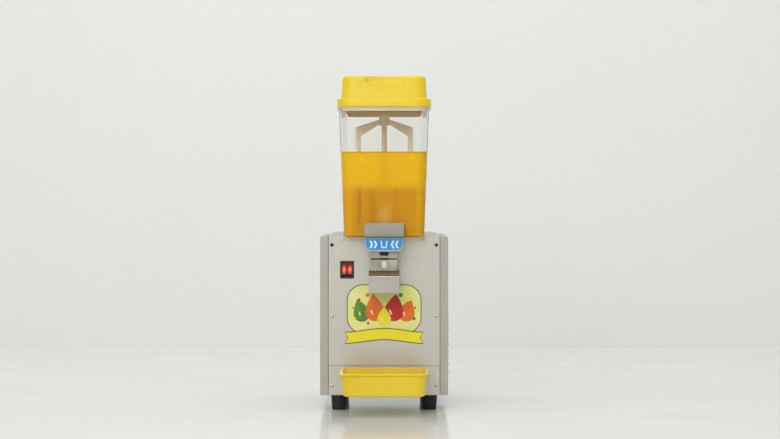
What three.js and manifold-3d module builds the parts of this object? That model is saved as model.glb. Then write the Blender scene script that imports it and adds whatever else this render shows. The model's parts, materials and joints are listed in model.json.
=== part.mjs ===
import * as THREE from 'three';
import { mergeVertices } from 'three/addons/utils/BufferGeometryUtils.js';
import Module from 'manifold-3d';

const wasm = await Module();
wasm.setup();

// Juice dispenser: a steel cooling cabinet, a clear bowl over a chilled dome, a push tap and a drip tray.
// Millimetres. +Z is up, the front faces -Y, and the origin is the middle of the footprint on the table.

// Cabinet
const CABINET_WIDTH = 240;
const CABINET_DEPTH = 320;
const CABINET_SHOULDER_Z = 326;
const DECK_Z = 330;
const DECK_CORNER = 6;
const DECK_SKIRT = 14;
const SHEET = 1.2;
const POST_WIDTH = 15;
const POST_CORNER = 3;
const POST_RETURN = 12;
const REAR_RECESS = 15;
const SEAM = 0.7;
const PANEL_SEAM_Z = 83;
const PANEL_RETURN = 10;
const CLEARANCE = 0.3;
const OVERRUN = 5;

// Feet and base pan
const FOOT_HEIGHT = 28;
const FOOT_TOP_RADIUS = 15;
const FOOT_TIP_RADIUS = 13;
const FOOT_EDGE = 2;
const FOOT_INSET = 35;
const FOOT_SETBACK = 20;
const PAN_LIP = 12;
const PAN_SLOT_LENGTH = 70;
const PAN_SLOT_WIDTH = 5;
const PAN_SLOT_PITCH = 14;
const PAN_SLOTS = 5;

// Louvres
const LOUVRE_LENGTH = 78;
const LOUVRE_WIDTH = 4;
const LOUVRE_PITCH = 13;
const LOUVRE_ROWS = 9;
const LOUVRE_LOWEST_Z = 66;
const LOUVRE_GAP = 22;

// Panel screws
const SCREW_HEAD_RADIUS = 3.4;
const SCREW_HEAD_HEIGHT = 1.8;
const SCREW_SHANK_RADIUS = 1.5;
const SCREW_LENGTH = 7;
const SCREW_INSET = 22;
const SCREW_TOP_Z = 310;
const SCREW_MIDDLE_Z = 176;
const SCREW_LOW_Z = 46;

// Chilled dome, gasket and coil
const DOME_RADIUS = 61;
const DOME_TOP_Z = 417;
const DOME_EDGE = 8;
const DOME_SETBACK = 118;
const DOME_FLANGE = 11;
const GASKET_SHEET = 1.5;
const GASKET_LIP = 2.4;
const GASKET_LIP_HEIGHT = 6;
const COIL_TUBE_RADIUS = 4;
const COIL_TURNS = 3;
const COIL_START_ANGLE = Math.PI / 4;
const COIL_LOW_Z = 342;
const COIL_HIGH_Z = 392;
const COIL_LEAD_Z = 312;

// Bowl
const BOWL_BASE_WIDTH = 150;
const BOWL_BASE_DEPTH = 311;
const BOWL_TAPER = 8.5;
const BOWL_FLARE = 4;
const BOWL_NECK_Z = 556;
const BOWL_RIM_Z = 567;
const BOWL_RIM_EDGE = 2;
const BOWL_CORNER = 16;
const BOWL_FOOT_ROUND = 8;
const BOWL_WALL = 3;
const BOWL_OVERHANG = 41;
const SUMP_Z = 325;
const SUMP_ROUND = 6;
const SUMP_GAP = 2.5;

// Lid
const LID_SKIRT_HEIGHT = 16;
const LID_SHOULDER = 2;
const LID_BODY_INSET = 8;
const LID_TOP_Z = 625;
const LID_TOP_ROUND = 6;
const LID_BODY_DRAFT = 2;
const LID_WALL = 2.5;
const LID_LIP_DEPTH = 7;
const LID_LIP_GAP = 1;
const GRIP_WIDTH = 66;
const GRIP_SLANT = 4;
const GRIP_HEIGHT = 13;
const GRIP_DEPTH = 24;

// Spray pump, tube and hood
const PUMP_RADIUS = 24;
const PUMP_HEIGHT = 16;
const PUMP_WALL = 3;
const PUMP_PORT_WIDTH = 9;
const PUMP_PORT_HEIGHT = 6;
const TUBE_RADIUS = 5;
const TUBE_BORE = 3.5;
const HOOD_TOP_Z = 560;
const HOOD_HUB_RADIUS = 10;
const HOOD_HUB_HEIGHT = 22;
const HOOD_SOCKET_DEPTH = 12;
const HOOD_SPAN = 111;
const HOOD_LEG = 10;
const HOOD_DEPTH = 14;
const HOOD_ARM_TOP_Z = 549;
const HOOD_EAVE_Z = 534;
const HOOD_ARM_LOW_Z = 540;
const HOOD_CROTCH_Z = 517.5;
const IMPELLER_RADIUS = 17;
const IMPELLER_DISC = 2;
const IMPELLER_HEIGHT = 8;
const IMPELLER_HUB_RADIUS = 5;
const IMPELLER_VANE = 2;
const IMPELLER_VANES = 5;

// Pump drive under the dome
const MAGNET_RADIUS = 22;
const MAGNET_HEIGHT = 11;
const MAGNET_GAP = 2;
const DRIVE_SHAFT_RADIUS = 3;
const DRIVE_MOTOR_RADIUS = 31;
const DRIVE_MOTOR_HEIGHT = 42;
const DRIVE_MOTOR_DROP = 22;
const DRIVE_BORE_DEPTH = 26;
const STRAP_REACH = 76;
const STRAP_WIDTH = 30;
const STRAP_SHEET = 2;

// Tap
const OUTLET_SETBACK = 21.5;
const OUTLET_RADIUS = 10;
const BARREL_RADIUS = 12.5;
const BARREL_BORE = 7.5;
const BARREL_FLANGE_RADIUS = 17;
const BARREL_FLANGE = 4;
const BARREL_TIP_Z = 236;
const SPIGOT_TOP_Z = 331;
const CAGE_RADIUS = 12.8;
const CAGE_WALL = 2;
const CAGE_TOP_Z = 380;
const CAGE_ROOF = 2;
const CAGE_PORT_WIDTH = 9;
const CAGE_PORT_LOW_Z = 334;
const CAGE_PORT_HIGH_Z = 352;
const PLUNGER_ROD_RADIUS = 3;
const PLUNGER_ROD_LOW_Z = 296;
const PLUNGER_SEAL_RADIUS = 9.2;
const PLUNGER_SEAL = 2;
const PLUNGER_SHOULDER_RADIUS = 10;
const PLUNGER_SHOULDER = 2;
const PLUNGER_HOOK_RISE = 12;
const PLUNGER_HOOK_RADIUS = 4;
const PLUNGER_HOOK_WIRE = 1.4;
const CROSS_PIN_RADIUS = 2;
const CROSS_PIN_Z = 308;
const CROSS_PIN_REACH = 29.5;
const LIFT_TRAVEL = 6;
const SPRING_RADIUS = 7;
const SPRING_WIRE = 0.7;
const SPRING_TURNS = 6;

// Tap bracket, guard and lever
const BRACKET_WIDTH = 49;
const BRACKET_SHEET = 1.5;
const BRACKET_STANDOFF = 21;
const BRACKET_CHEEK = 11;
const BRACKET_CHEEK_LOW_Z = 300;
const BRACKET_FOLD_Z = 287;
const BRACKET_FOLD_DROP = 4;
const BRACKET_FOLD_STEP = 4;
const GUARD_WIDTH = 57;
const GUARD_TOP_Z = 263;
const GUARD_SHOULDER_Z = 253;
const GUARD_LOW_Z = 222;
const GUARD_STANDOFF = 35;
const GUARD_SLOPE_STEP = 9;
const GUARD_BACK = 4;
const GUARD_SHEET = 1.5;
const PIVOT_REACH = 15.5;
const PIVOT_Z = 316;
const PIVOT_RADIUS = 2.3;
const PIVOT_HEAD_RADIUS = 4;
const PIVOT_HEAD = 1.5;
const LEVER_WIDTH = 73.4;
const LEVER_SHEET = 1.5;
const LEVER_STANDOFF = 33;
const LEVER_LOW_Z = 298.6;
const LEVER_LABEL_TOP_Z = 324.5;
const LEVER_LIP_Z = 328;
const LEVER_CREST_Z = 330.5;
const LEVER_TOP_Z = 352;
const LEVER_LIP_STEP = 6;
const LEVER_TOP_LEAN = 12;
const LEVER_TOE_WIDTH = 59;
const LEVER_TOE_CORNER = 6;
const LEVER_EAR_GAP = 0.6;
const LEVER_EAR_DROP = 14;
const LEVER_EAR_RISE = 5;
const LEVER_PRONG_HEIGHT = 5.2;
const LEVER_PRONG_TAIL = 6;
const LABEL_SHEET = 0.6;
const LABEL_MARGIN = 1.6;
const STOP_WIDTH = 17;
const STOP_HEIGHT = 6.7;
const STOP_DEPTH = 3;
const STOP_Z = 294.3;
const CLIP_WIDTH = 10;
const CLIP_HEIGHT = 14;
const CLIP_DEPTH = 3.5;
const CLIP_Z = 274.5;

// Switch
const SWITCH_INSET = 50.5;
const SWITCH_Z = 263.6;
const BEZEL_WIDTH = 26;
const BEZEL_HEIGHT = 33;
const BEZEL_FACE = 2;
const BEZEL_BODY_INSET = 1.6;
const BEZEL_BODY_DEPTH = 22;
const ROCKER_WIDTH = 8.8;
const ROCKER_HEIGHT = 22;
const ROCKER_DEPTH = 6;
const ROCKER_CROWN = 1.4;
const ROCKER_PITCH = 10.6;
const ROCKER_TILT_DEG = -8;
const ROCKER_PIVOT_DEPTH = 6;
const ROCKER_WELL_DEPTH = 14;
const ROCKER_WELL_GAP = 1.4;

// Drip tray and grate
const TRAY_REACH = 140;
const TRAY_RIM_WIDTH = 164;
const TRAY_TOP_WIDTH = 156;
const TRAY_BASE_WIDTH = 150;
const TRAY_RIM_Z = 79;
const TRAY_BASE_Z = 36.5;
const TRAY_RIM_DROP = 4;
const TRAY_WALL = 2.5;
const TRAY_CORNER = 18;
const TRAY_FOOT_ROUND = 5;
const TRAY_LEDGE_Z = 66;
const TRAY_LEDGE = 3;
const TONGUE_WIDTH = 18;
const TONGUE_THICK = 4;
const TONGUE_Z = 62;
const TONGUE_LENGTH = 14;
const TONGUE_SPACING = 90;
const GRATE_THICK = 4;
const GRATE_GAP = 1;
const GRATE_SLOT = 5;
const GRATE_PITCH = 9.5;
const GRATE_SLOTS = 13;
const GRATE_BORDER = 9;

// Cooling unit
const COMPRESSOR_RADIUS = 50;
const COMPRESSOR_HEIGHT = 118;
const COMPRESSOR_ROUND = 14;
const COMPRESSOR_FOOT = 9;
const COMPRESSOR_FOOT_RADIUS = 8;
const COMPRESSOR_PLATE = 3;
const COMPRESSOR_PLATE_LENGTH = 112;
const COMPRESSOR_PLATE_WIDTH = 76;
const COMPRESSOR_SETBACK = 105;
const STUB_RADIUS = 5;
const STUB_HEIGHT = 7;
const STUB_OFFSET = 16;
const PIPE_RADIUS = 4;
const PIPE_LOOP_Z = 214;
const RELAY_WIDTH = 12;
const RELAY_GAP = 8.5;
const RELAY_LENGTH = 40;
const RELAY_HEIGHT = 48;
const RELAY_Z = 70;
const CONDENSER_THICK = 26;
const CONDENSER_LENGTH = 140;
const CONDENSER_HEIGHT = 150;
const CONDENSER_GAP = 6;
const CONDENSER_FINS = 14;
const CONDENSER_FIN = 1.6;
const CONDENSER_FRAME = 8;
const SHROUD_SHEET = 2;
const SHROUD_RING_RADIUS = 60;
const SHROUD_RING_DEPTH = 18;
const FAN_RADIUS = 55;
const FAN_HUB_RADIUS = 15;
const FAN_HUB_DEPTH = 13;
const FAN_BLADES = 5;
const FAN_BLADE_SHEET = 1.6;
const FAN_BLADE_CHORD = 26;
const FAN_BLADE_PITCH_DEG = 28;
const FAN_SHAFT_RADIUS = 2.5;
const FAN_SHAFT_LENGTH = 16;
const FAN_MOTOR_RADIUS = 21;
const FAN_MOTOR_DEPTH = 36;
const FAN_MOTOR_GAP = 3;
const FAN_STAND_WIDTH = 40;
const FAN_STAND_DEPTH = 14;
const LIQUID_PIPE_RADIUS = 2.5;
const DRIER_RADIUS = 8;
const DRIER_LENGTH = 52;

// Rear fittings
const THERMOSTAT_INSET = 54;
const THERMOSTAT_Z = 266;
const THERMOSTAT_WIDTH = 34;
const THERMOSTAT_HEIGHT = 30;
const THERMOSTAT_DEPTH = 24;
const KNOB_RADIUS = 13;
const KNOB_DEPTH = 11;
const KNOB_GRIP_WIDTH = 5;
const KNOB_GRIP_RISE = 3;
const KNOB_SHAFT_RADIUS = 3;
const KNOB_SHAFT_LENGTH = 14;
const INLET_INSET = 48;
const INLET_Z = 258;
const INLET_WIDTH = 32;
const INLET_HEIGHT = 24;
const INLET_FLANGE = 3;
const INLET_WALL = 2;
const INLET_DEPTH = 22;
const INLET_SOCKET_DEPTH = 17;
const INLET_BLADE_WIDTH = 2;
const INLET_BLADE_HEIGHT = 4;
const INLET_BLADE_PITCH = 8;

// Facets on round pieces, and the steps of a rounded corner
const FINE_FACETS = 36;
const ROUND_FACETS = 20;
const SMALL_FACETS = 12;
const TINY_FACETS = 8;
const CORNER_STEPS = 3;
const PIPE_SIDES = 6;
const PIPE_STEPS = 18;
const COIL_STEPS_PER_TURN = 12;
const SPRING_STEPS_PER_TURN = 8;
const SPRING_SIDES = 5;

// Places that follow from the sizes above
const HALF_WIDTH = CABINET_WIDTH / 2;
const FOOT_X = HALF_WIDTH - FOOT_INSET;
const SCREW_X = HALF_WIDTH - SCREW_INSET;
const SWITCH_X = SWITCH_INSET - HALF_WIDTH;
const THERMOSTAT_X = HALF_WIDTH - THERMOSTAT_INSET;
const INLET_X = INLET_INSET - HALF_WIDTH;
const FRONT_Y = (TRAY_REACH - CABINET_DEPTH) / 2;
const REAR_Y = FRONT_Y + CABINET_DEPTH;
const REAR_PANEL_Y = REAR_Y - REAR_RECESS;
const PAN_TOP_Z = FOOT_HEIGHT + SHEET;
const PANEL_HALF_WIDTH = HALF_WIDTH - POST_WIDTH - SEAM;
const DECK_UNDERSIDE_Z = DECK_Z - SHEET;
const DECK_SKIRT_Z = DECK_Z - DECK_SKIRT;
const DOME_Y = FRONT_Y + DOME_SETBACK;
const DOME_INNER_RADIUS = DOME_RADIUS - SHEET;
const BOWL_FLOOR_Z = DECK_Z + SHEET + GASKET_SHEET;
const BOWL_INSIDE_Z = BOWL_FLOOR_Z + BOWL_WALL;
const BOWL_FRONT_Y = FRONT_Y - BOWL_OVERHANG;
const BOWL_Y = BOWL_FRONT_Y + BOWL_BASE_DEPTH / 2;
const BOWL_HOLE_RADIUS = DOME_RADIUS + CLEARANCE + GASKET_LIP + CLEARANCE;
const BOWL_SPREAD = BOWL_TAPER + BOWL_FLARE;
const RIM_WIDTH = BOWL_BASE_WIDTH + 2 * BOWL_SPREAD;
const RIM_DEPTH = BOWL_BASE_DEPTH + 2 * BOWL_SPREAD;
const OUTLET_Y = FRONT_Y - OUTLET_SETBACK;
const PIVOT_Y = OUTLET_Y - PIVOT_REACH;
const BRACKET_FACE_Y = OUTLET_Y - BRACKET_STANDOFF;
const LEVER_FACE_Y = OUTLET_Y - LEVER_STANDOFF;
const GUARD_FACE_Y = OUTLET_Y - GUARD_STANDOFF;
const TRAY_Y = FRONT_Y - CLEARANCE - TRAY_REACH / 2 + CLEARANCE / 2;
const TRAY_DEPTH = TRAY_REACH - CLEARANCE;
const COMPRESSOR_Y = REAR_Y - COMPRESSOR_SETBACK;
const RELAY_X = HALF_WIDTH - SHEET - RELAY_GAP - RELAY_WIDTH;
const COMPRESSOR_X = RELAY_X - CLEARANCE - COMPRESSOR_RADIUS;
const CONDENSER_X = -HALF_WIDTH + SHEET + CONDENSER_GAP;
const SHROUD_X = CONDENSER_X + CONDENSER_THICK + CLEARANCE;
const FAN_X = SHROUD_X + SHROUD_SHEET + CLEARANCE;
const FAN_Z = PAN_TOP_Z + CLEARANCE + CONDENSER_HEIGHT / 2;
const DRIVE_MOTOR_TOP_Z = DECK_UNDERSIDE_Z - DRIVE_MOTOR_DROP;

// Ways of making and joining solids

function signedVolume(positions, triangles) {
  const a = new THREE.Vector3();
  const b = new THREE.Vector3();
  const c = new THREE.Vector3();
  let volume = 0;
  for (let i = 0; i < triangles.length; i += 3) {
    a.fromArray(positions, triangles[i] * 3);
    b.fromArray(positions, triangles[i + 1] * 3);
    c.fromArray(positions, triangles[i + 2] * 3);
    volume += a.dot(b.cross(c));
  }
  return volume;
}

function solidOf(geometry) {
  const bare = geometry.clone();
  bare.deleteAttribute('normal');
  bare.deleteAttribute('uv');
  const merged = mergeVertices(bare);
  const positions = new Float32Array(merged.attributes.position.array);
  const kept = [];
  for (let i = 0; i < merged.index.count; i += 3) {
    const [a, b, c] = [0, 1, 2].map((k) => merged.index.getX(i + k));
    if (a !== b && b !== c && c !== a) {
      kept.push(a, b, c);
    }
  }
  if (signedVolume(positions, kept) < 0) {
    kept.reverse();
  }
  const mesh = new wasm.Mesh({ numProp: 3, vertProperties: positions, triVerts: new Uint32Array(kept) });
  return new wasm.Manifold(mesh);
}

function geometryOf(solid) {
  const mesh = solid.getMesh();
  const geometry = new THREE.BufferGeometry();
  geometry.setAttribute('position', new THREE.BufferAttribute(mesh.vertProperties, 3));
  geometry.setIndex(new THREE.BufferAttribute(mesh.triVerts, 1));
  geometry.computeVertexNormals();
  return geometry;
}

function join(...solids) {
  return solids.reduce((sum, next) => sum.add(next));
}

function cut(solid, ...tools) {
  return tools.reduce((left, tool) => left.subtract(tool), solid);
}

// A box between two limits on each axis
function block([x0, x1], [y0, y1], [z0, z1]) {
  const geometry = new THREE.BoxGeometry(x1 - x0, y1 - y0, z1 - z0);
  geometry.translate((x0 + x1) / 2, (y0 + y1) / 2, (z0 + z1) / 2);
  return solidOf(geometry);
}

// A box that is centred across the machine
function wideBlock(width, yLimits, zLimits) {
  return block([-width / 2, width / 2], yLimits, zLimits);
}

// A round solid about a vertical axis, from points of radius and height
function turned(profile, facets, x = 0, y = 0) {
  const points = profile.map(([radius, z]) => new THREE.Vector2(radius, z));
  const geometry = new THREE.LatheGeometry(points, facets);
  geometry.rotateX(Math.PI / 2);
  geometry.translate(x, y, 0);
  return solidOf(geometry);
}

function post(radius, [z0, z1], facets, x = 0, y = 0) {
  return turned([[0, z0], [radius, z0], [radius, z1], [0, z1]], facets, x, y);
}

// A rod across the machine, along X
function crossRod(radius, [x0, x1], y, z, facets) {
  const geometry = new THREE.CylinderGeometry(radius, radius, x1 - x0, facets);
  geometry.rotateZ(Math.PI / 2);
  geometry.translate((x0 + x1) / 2, y, z);
  return solidOf(geometry);
}

// A rod from front to back, along Y
function deepRod(radius, [y0, y1], x, z, facets) {
  const geometry = new THREE.CylinderGeometry(radius, radius, y1 - y0, facets);
  geometry.translate(x, (y0 + y1) / 2, z);
  return solidOf(geometry);
}

function outline(points) {
  return new THREE.Shape(points.map(([u, v]) => new THREE.Vector2(u, v)));
}

function roundedOutline(width, height, radius) {
  const shape = new THREE.Shape();
  const reachX = width / 2 - radius;
  const reachY = height / 2 - radius;
  shape.absarc(reachX, reachY, radius, 0, Math.PI / 2);
  shape.absarc(-reachX, reachY, radius, Math.PI / 2, Math.PI);
  shape.absarc(-reachX, -reachY, radius, Math.PI, Math.PI * 1.5);
  shape.absarc(reachX, -reachY, radius, Math.PI * 1.5, Math.PI * 2);
  return shape;
}

function extruded(shape, depth) {
  return new THREE.ExtrudeGeometry(shape, { depth, bevelEnabled: false, curveSegments: CORNER_STEPS });
}

const ACROSS = new THREE.Vector3(1, 0, 0);
const BACKWARDS = new THREE.Vector3(0, 1, 0);
const UPWARDS = new THREE.Vector3(0, 0, 1);
const FORWARDS = new THREE.Vector3(0, -1, 0);

// A side view outline in Y and Z, made solid from x0 to x1
function fromSideView(shape, [x0, x1]) {
  const geometry = extruded(shape, x1 - x0);
  geometry.applyMatrix4(new THREE.Matrix4().makeBasis(BACKWARDS, UPWARDS, ACROSS));
  geometry.translate(x0, 0, 0);
  return solidOf(geometry);
}

// A front view outline in X and Z, made solid from y0 to y1
function fromFrontView(shape, [y0, y1], x = 0, z = 0) {
  const geometry = extruded(shape, y1 - y0);
  geometry.applyMatrix4(new THREE.Matrix4().makeBasis(ACROSS, UPWARDS, FORWARDS));
  geometry.translate(x, y1, z);
  return solidOf(geometry);
}

// One rounded rectangle of a drawn shape: its points at one height
function roundedRing({ width, depth, corner, y, z }) {
  const points = [];
  const signs = [[1, 1], [-1, 1], [-1, -1], [1, -1]];
  signs.forEach(([sx, sy], quarter) => {
    const cx = sx * (width / 2 - corner);
    const cy = y + sy * (depth / 2 - corner);
    for (let step = 0; step <= CORNER_STEPS; step += 1) {
      const angle = (quarter + step / CORNER_STEPS) * Math.PI / 2;
      points.push(new THREE.Vector3(cx + corner * Math.cos(angle), cy + corner * Math.sin(angle), z));
    }
  });
  return points;
}

// A solid through rounded rectangles from the lowest to the highest
function drawnThrough(levels) {
  const rings = levels.map(roundedRing);
  const count = rings[0].length;
  const positions = rings.flat().flatMap((point) => point.toArray());
  const triangles = [];
  for (let level = 0; level + 1 < rings.length; level += 1) {
    for (let i = 0; i < count; i += 1) {
      const low = level * count + i;
      const lowNext = level * count + (i + 1) % count;
      triangles.push(low, lowNext, lowNext + count, low, lowNext + count, low + count);
    }
  }
  const top = (rings.length - 1) * count;
  for (let i = 1; i + 1 < count; i += 1) {
    triangles.push(0, i + 1, i);
    triangles.push(top, top + i, top + i + 1);
  }
  const geometry = new THREE.BufferGeometry();
  geometry.setAttribute('position', new THREE.Float32BufferAttribute(positions, 3));
  geometry.setIndex(triangles);
  return solidOf(geometry);
}

// A round tube along a curve
function tubeAlong(curve, radius, steps, sides) {
  const section = new THREE.Shape();
  for (let side = 0; side < sides; side += 1) {
    const angle = side / sides * Math.PI * 2;
    const method = side === 0 ? 'moveTo' : 'lineTo';
    section[method](radius * Math.cos(angle), radius * Math.sin(angle));
  }
  section.closePath();
  return new THREE.ExtrudeGeometry(section, { extrudePath: curve, steps, bevelEnabled: false });
}

function pipeThrough(points, radius, steps) {
  const places = points.map(([x, y, z]) => new THREE.Vector3(x, y, z));
  const curve = new THREE.CatmullRomCurve3(places, false, 'centripetal');
  return solidOf(tubeAlong(curve, radius, steps, PIPE_SIDES));
}

function finish(color, roughness, metalness, opacity = 1) {
  const transparent = opacity < 1;
  return new THREE.MeshStandardMaterial({ color, roughness, metalness, opacity, transparent });
}

const steel = () => finish(0xb2ae9f, 0.35, 0.9);
const brightSteel = () => finish(0xc9c8c2, 0.2, 0.95);
const galvanised = () => finish(0x8f9290, 0.5, 0.8);
const clearPlastic = () => finish(0xf2efe2, 0.08, 0, 0.35);
const yellowPlastic = () => finish(0xdcbf32, 0.4, 0);
const whitePlastic = () => finish(0xe2dfd2, 0.4, 0);
const beigePlastic = () => finish(0xcbb898, 0.45, 0);
const blackPlastic = () => finish(0x1e2321, 0.5, 0);
const blackRubber = () => finish(0x1c1f1e, 0.8, 0);
const greyRubber = () => finish(0x8b8a84, 0.8, 0);
const blueLabel = () => finish(0x378cdc, 0.4, 0);
const redLens = () => finish(0xd8231b, 0.3, 0);
const copper = () => finish(0xb87347, 0.35, 0.9);
const blackEnamel = () => finish(0x24262a, 0.45, 0.2);
const aluminium = () => finish(0xa9adb0, 0.45, 0.85);

const dispenser = new THREE.Group();
dispenser.name = 'juice_dispenser';

function assembly(name) {
  const group = new THREE.Group();
  group.name = name;
  dispenser.add(group);
  return group;
}

function piece(group, name, solid, material, place) {
  const mesh = new THREE.Mesh(geometryOf(solid), material);
  mesh.name = name;
  if (place) {
    mesh.position.set(...place);
  }
  group.add(mesh);
  return mesh;
}

// Cabinet shell

const cabinet = assembly('cabinet');

function footSolid() {
  return turned([
    [0, 0],
    [FOOT_TIP_RADIUS - FOOT_EDGE, 0],
    [FOOT_TIP_RADIUS, FOOT_EDGE],
    [FOOT_TOP_RADIUS, FOOT_HEIGHT - FOOT_EDGE],
    [FOOT_TOP_RADIUS, FOOT_HEIGHT],
    [0, FOOT_HEIGHT],
  ], ROUND_FACETS);
}

const footRows = { front: FRONT_Y + FOOT_SETBACK, rear: REAR_PANEL_Y - FOOT_SETBACK };
for (const [row, y] of Object.entries(footRows)) {
  for (const [side, sign] of Object.entries({ left: -1, right: 1 })) {
    const place = [sign * FOOT_X, y, 0];
    piece(cabinet, `foot_${row}_${side}`, footSolid(), blackRubber(), place);
  }
}

function basePan() {
  const width = CABINET_WIDTH - 2 * (SHEET + CLEARANCE);
  const front = FRONT_Y + SHEET + CLEARANCE;
  const rear = REAR_PANEL_Y - SHEET - CLEARANCE;
  const lip = [FOOT_HEIGHT, FOOT_HEIGHT + PAN_LIP];
  const pan = cut(
    wideBlock(width, [front, rear], lip),
    wideBlock(width - 2 * SHEET, [front + SHEET, rear - SHEET], [PAN_TOP_Z, lip[1] + OVERRUN]),
  );
  const slots = [];
  for (let i = 0; i < PAN_SLOTS; i += 1) {
    const y = DOME_Y + (i - PAN_SLOTS / 2) * PAN_SLOT_PITCH;
    const heights = [FOOT_HEIGHT - OVERRUN, PAN_TOP_Z + OVERRUN];
    slots.push(wideBlock(PAN_SLOT_LENGTH, [y, y + PAN_SLOT_WIDTH], heights));
  }
  const notches = [-1, 1].map((side) => {
    const inner = side * (HALF_WIDTH - POST_WIDTH - CLEARANCE);
    const edges = [inner, side * HALF_WIDTH].sort((a, b) => a - b);
    const depths = [FRONT_Y, FRONT_Y + POST_RETURN + CLEARANCE];
    return block(edges, depths, [FOOT_HEIGHT - OVERRUN, FOOT_HEIGHT + PAN_LIP + OVERRUN]);
  });
  return cut(pan, ...slots, ...notches);
}
piece(cabinet, 'base_pan', basePan(), galvanised());

// A front view that is square below and rounded at its two top corners
function archOutline(halfWidth, low, high, corner) {
  const shape = new THREE.Shape();
  shape.moveTo(-halfWidth, low);
  shape.lineTo(halfWidth, low);
  shape.absarc(halfWidth - corner, high - corner, corner, 0, Math.PI / 2);
  shape.absarc(corner - halfWidth, high - corner, corner, Math.PI / 2, Math.PI);
  return shape;
}

// The left side panel: an outer wall with a boxed front post, a shoulder with its lip,
// a rear flange and louvres
function sidePanel() {
  const outer = -HALF_WIDTH;
  const postInner = outer + POST_WIDTH;
  const profile = (inset, low) => archOutline(
    POST_WIDTH / 2 - inset,
    low,
    CABINET_SHOULDER_Z - inset,
    POST_CORNER - inset,
  );
  const middle = outer + POST_WIDTH / 2;
  const box = fromFrontView(profile(0, FOOT_HEIGHT), [FRONT_Y, REAR_Y], middle);
  const hollow = fromFrontView(
    profile(SHEET, FOOT_HEIGHT - OVERRUN),
    [FRONT_Y + SHEET, REAR_Y - SHEET],
    middle,
  );
  const openSide = block(
    [postInner - SHEET - CLEARANCE, postInner + OVERRUN],
    [FRONT_Y + POST_RETURN, REAR_Y - SHEET],
    [FOOT_HEIGHT - OVERRUN, DECK_SKIRT_Z],
  );
  const rows = [];
  for (let row = 0; row < LOUVRE_ROWS; row += 1) {
    const z = LOUVRE_LOWEST_Z + row * LOUVRE_PITCH;
    for (const side of [-1, 1]) {
      const y = (FRONT_Y + REAR_Y) / 2 + side * (LOUVRE_LENGTH + LOUVRE_GAP) / 2;
      const limits = [y - LOUVRE_LENGTH / 2, y + LOUVRE_LENGTH / 2];
      rows.push(block([outer - OVERRUN, outer + OVERRUN], limits, [z, z + LOUVRE_WIDTH]));
    }
  }
  return cut(box, hollow, openSide, ...rows);
}

const leftPanel = sidePanel();
piece(cabinet, 'left_side_panel', leftPanel, steel());
piece(cabinet, 'right_side_panel', leftPanel.mirror([1, 0, 0]), steel());

function screwHoles(places) {
  const radius = SCREW_SHANK_RADIUS + CLEARANCE;
  const depth = [FRONT_Y - OVERRUN, FRONT_Y + SHEET + OVERRUN];
  return places.map(([x, z]) => deepRod(radius, depth, x, z, TINY_FACETS));
}

const upperScrews = [-1, 1].flatMap((side) => [
  [side * SCREW_X, SCREW_TOP_Z],
  [side * SCREW_X, SCREW_MIDDLE_Z],
]);
const lowerScrews = [-1, 1].map((side) => [side * SCREW_X, SCREW_LOW_Z]);

function frontPanel() {
  const low = PANEL_SEAM_Z + SEAM;
  const face = fromFrontView(
    archOutline(PANEL_HALF_WIDTH, low, DECK_Z, DECK_CORNER),
    [FRONT_Y, FRONT_Y + SHEET],
  );
  const returns = [-1, 1].map((side) => {
    const edges = [side * PANEL_HALF_WIDTH, side * (PANEL_HALF_WIDTH - SHEET)].sort((a, b) => a - b);
    return block(edges, [FRONT_Y, FRONT_Y + PANEL_RETURN], [low, DECK_SKIRT_Z - CLEARANCE]);
  });
  const bodyWidth = BEZEL_WIDTH - 2 * BEZEL_BODY_INSET + 2 * CLEARANCE;
  const bodyHeight = BEZEL_HEIGHT - 2 * BEZEL_BODY_INSET + 2 * CLEARANCE;
  const window = block(
    [SWITCH_X - bodyWidth / 2, SWITCH_X + bodyWidth / 2],
    [FRONT_Y - OVERRUN, FRONT_Y + SHEET + OVERRUN],
    [SWITCH_Z - bodyHeight / 2, SWITCH_Z + bodyHeight / 2],
  );
  return cut(join(face, ...returns), window, ...screwHoles(upperScrews));
}
piece(cabinet, 'front_panel', frontPanel(), steel());

function tongueLimits(side, gap) {
  const x = side * TONGUE_SPACING / 2;
  const half = TONGUE_WIDTH / 2 + gap;
  return [x - half, x + half];
}

function lowerFrontPanel() {
  const face = wideBlock(2 * PANEL_HALF_WIDTH, [FRONT_Y, FRONT_Y + SHEET], [FOOT_HEIGHT + SEAM, PANEL_SEAM_Z]);
  const slots = [-1, 1].map((side) => block(
    tongueLimits(side, GRATE_GAP),
    [FRONT_Y - OVERRUN, FRONT_Y + SHEET + OVERRUN],
    [TONGUE_Z - CLEARANCE, TONGUE_Z + TONGUE_THICK + GRATE_GAP],
  ));
  return cut(face, ...slots, ...screwHoles(lowerScrews));
}
piece(cabinet, 'lower_front_panel', lowerFrontPanel(), steel());

function topDeck() {
  const depths = [FRONT_Y + SHEET + CLEARANCE, REAR_PANEL_Y];
  const outer = archOutline(PANEL_HALF_WIDTH, DECK_SKIRT_Z, DECK_Z, DECK_CORNER);
  const inner = archOutline(
    PANEL_HALF_WIDTH - SHEET,
    DECK_SKIRT_Z - OVERRUN,
    DECK_UNDERSIDE_Z,
    DECK_CORNER - SHEET,
  );
  const hollow = fromFrontView(inner, [depths[0] - OVERRUN, depths[1] - SHEET]);
  const hole = post(
    DOME_INNER_RADIUS + CLEARANCE,
    [DECK_UNDERSIDE_Z - OVERRUN, DECK_Z + OVERRUN],
    FINE_FACETS,
    0,
    DOME_Y,
  );
  return cut(fromFrontView(outer, depths), hollow, hole);
}
piece(cabinet, 'top_deck', topDeck(), steel());

const inletBodyWidth = INLET_WIDTH - 2 * INLET_FLANGE;
const inletBodyHeight = INLET_HEIGHT - 2 * INLET_FLANGE;

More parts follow.
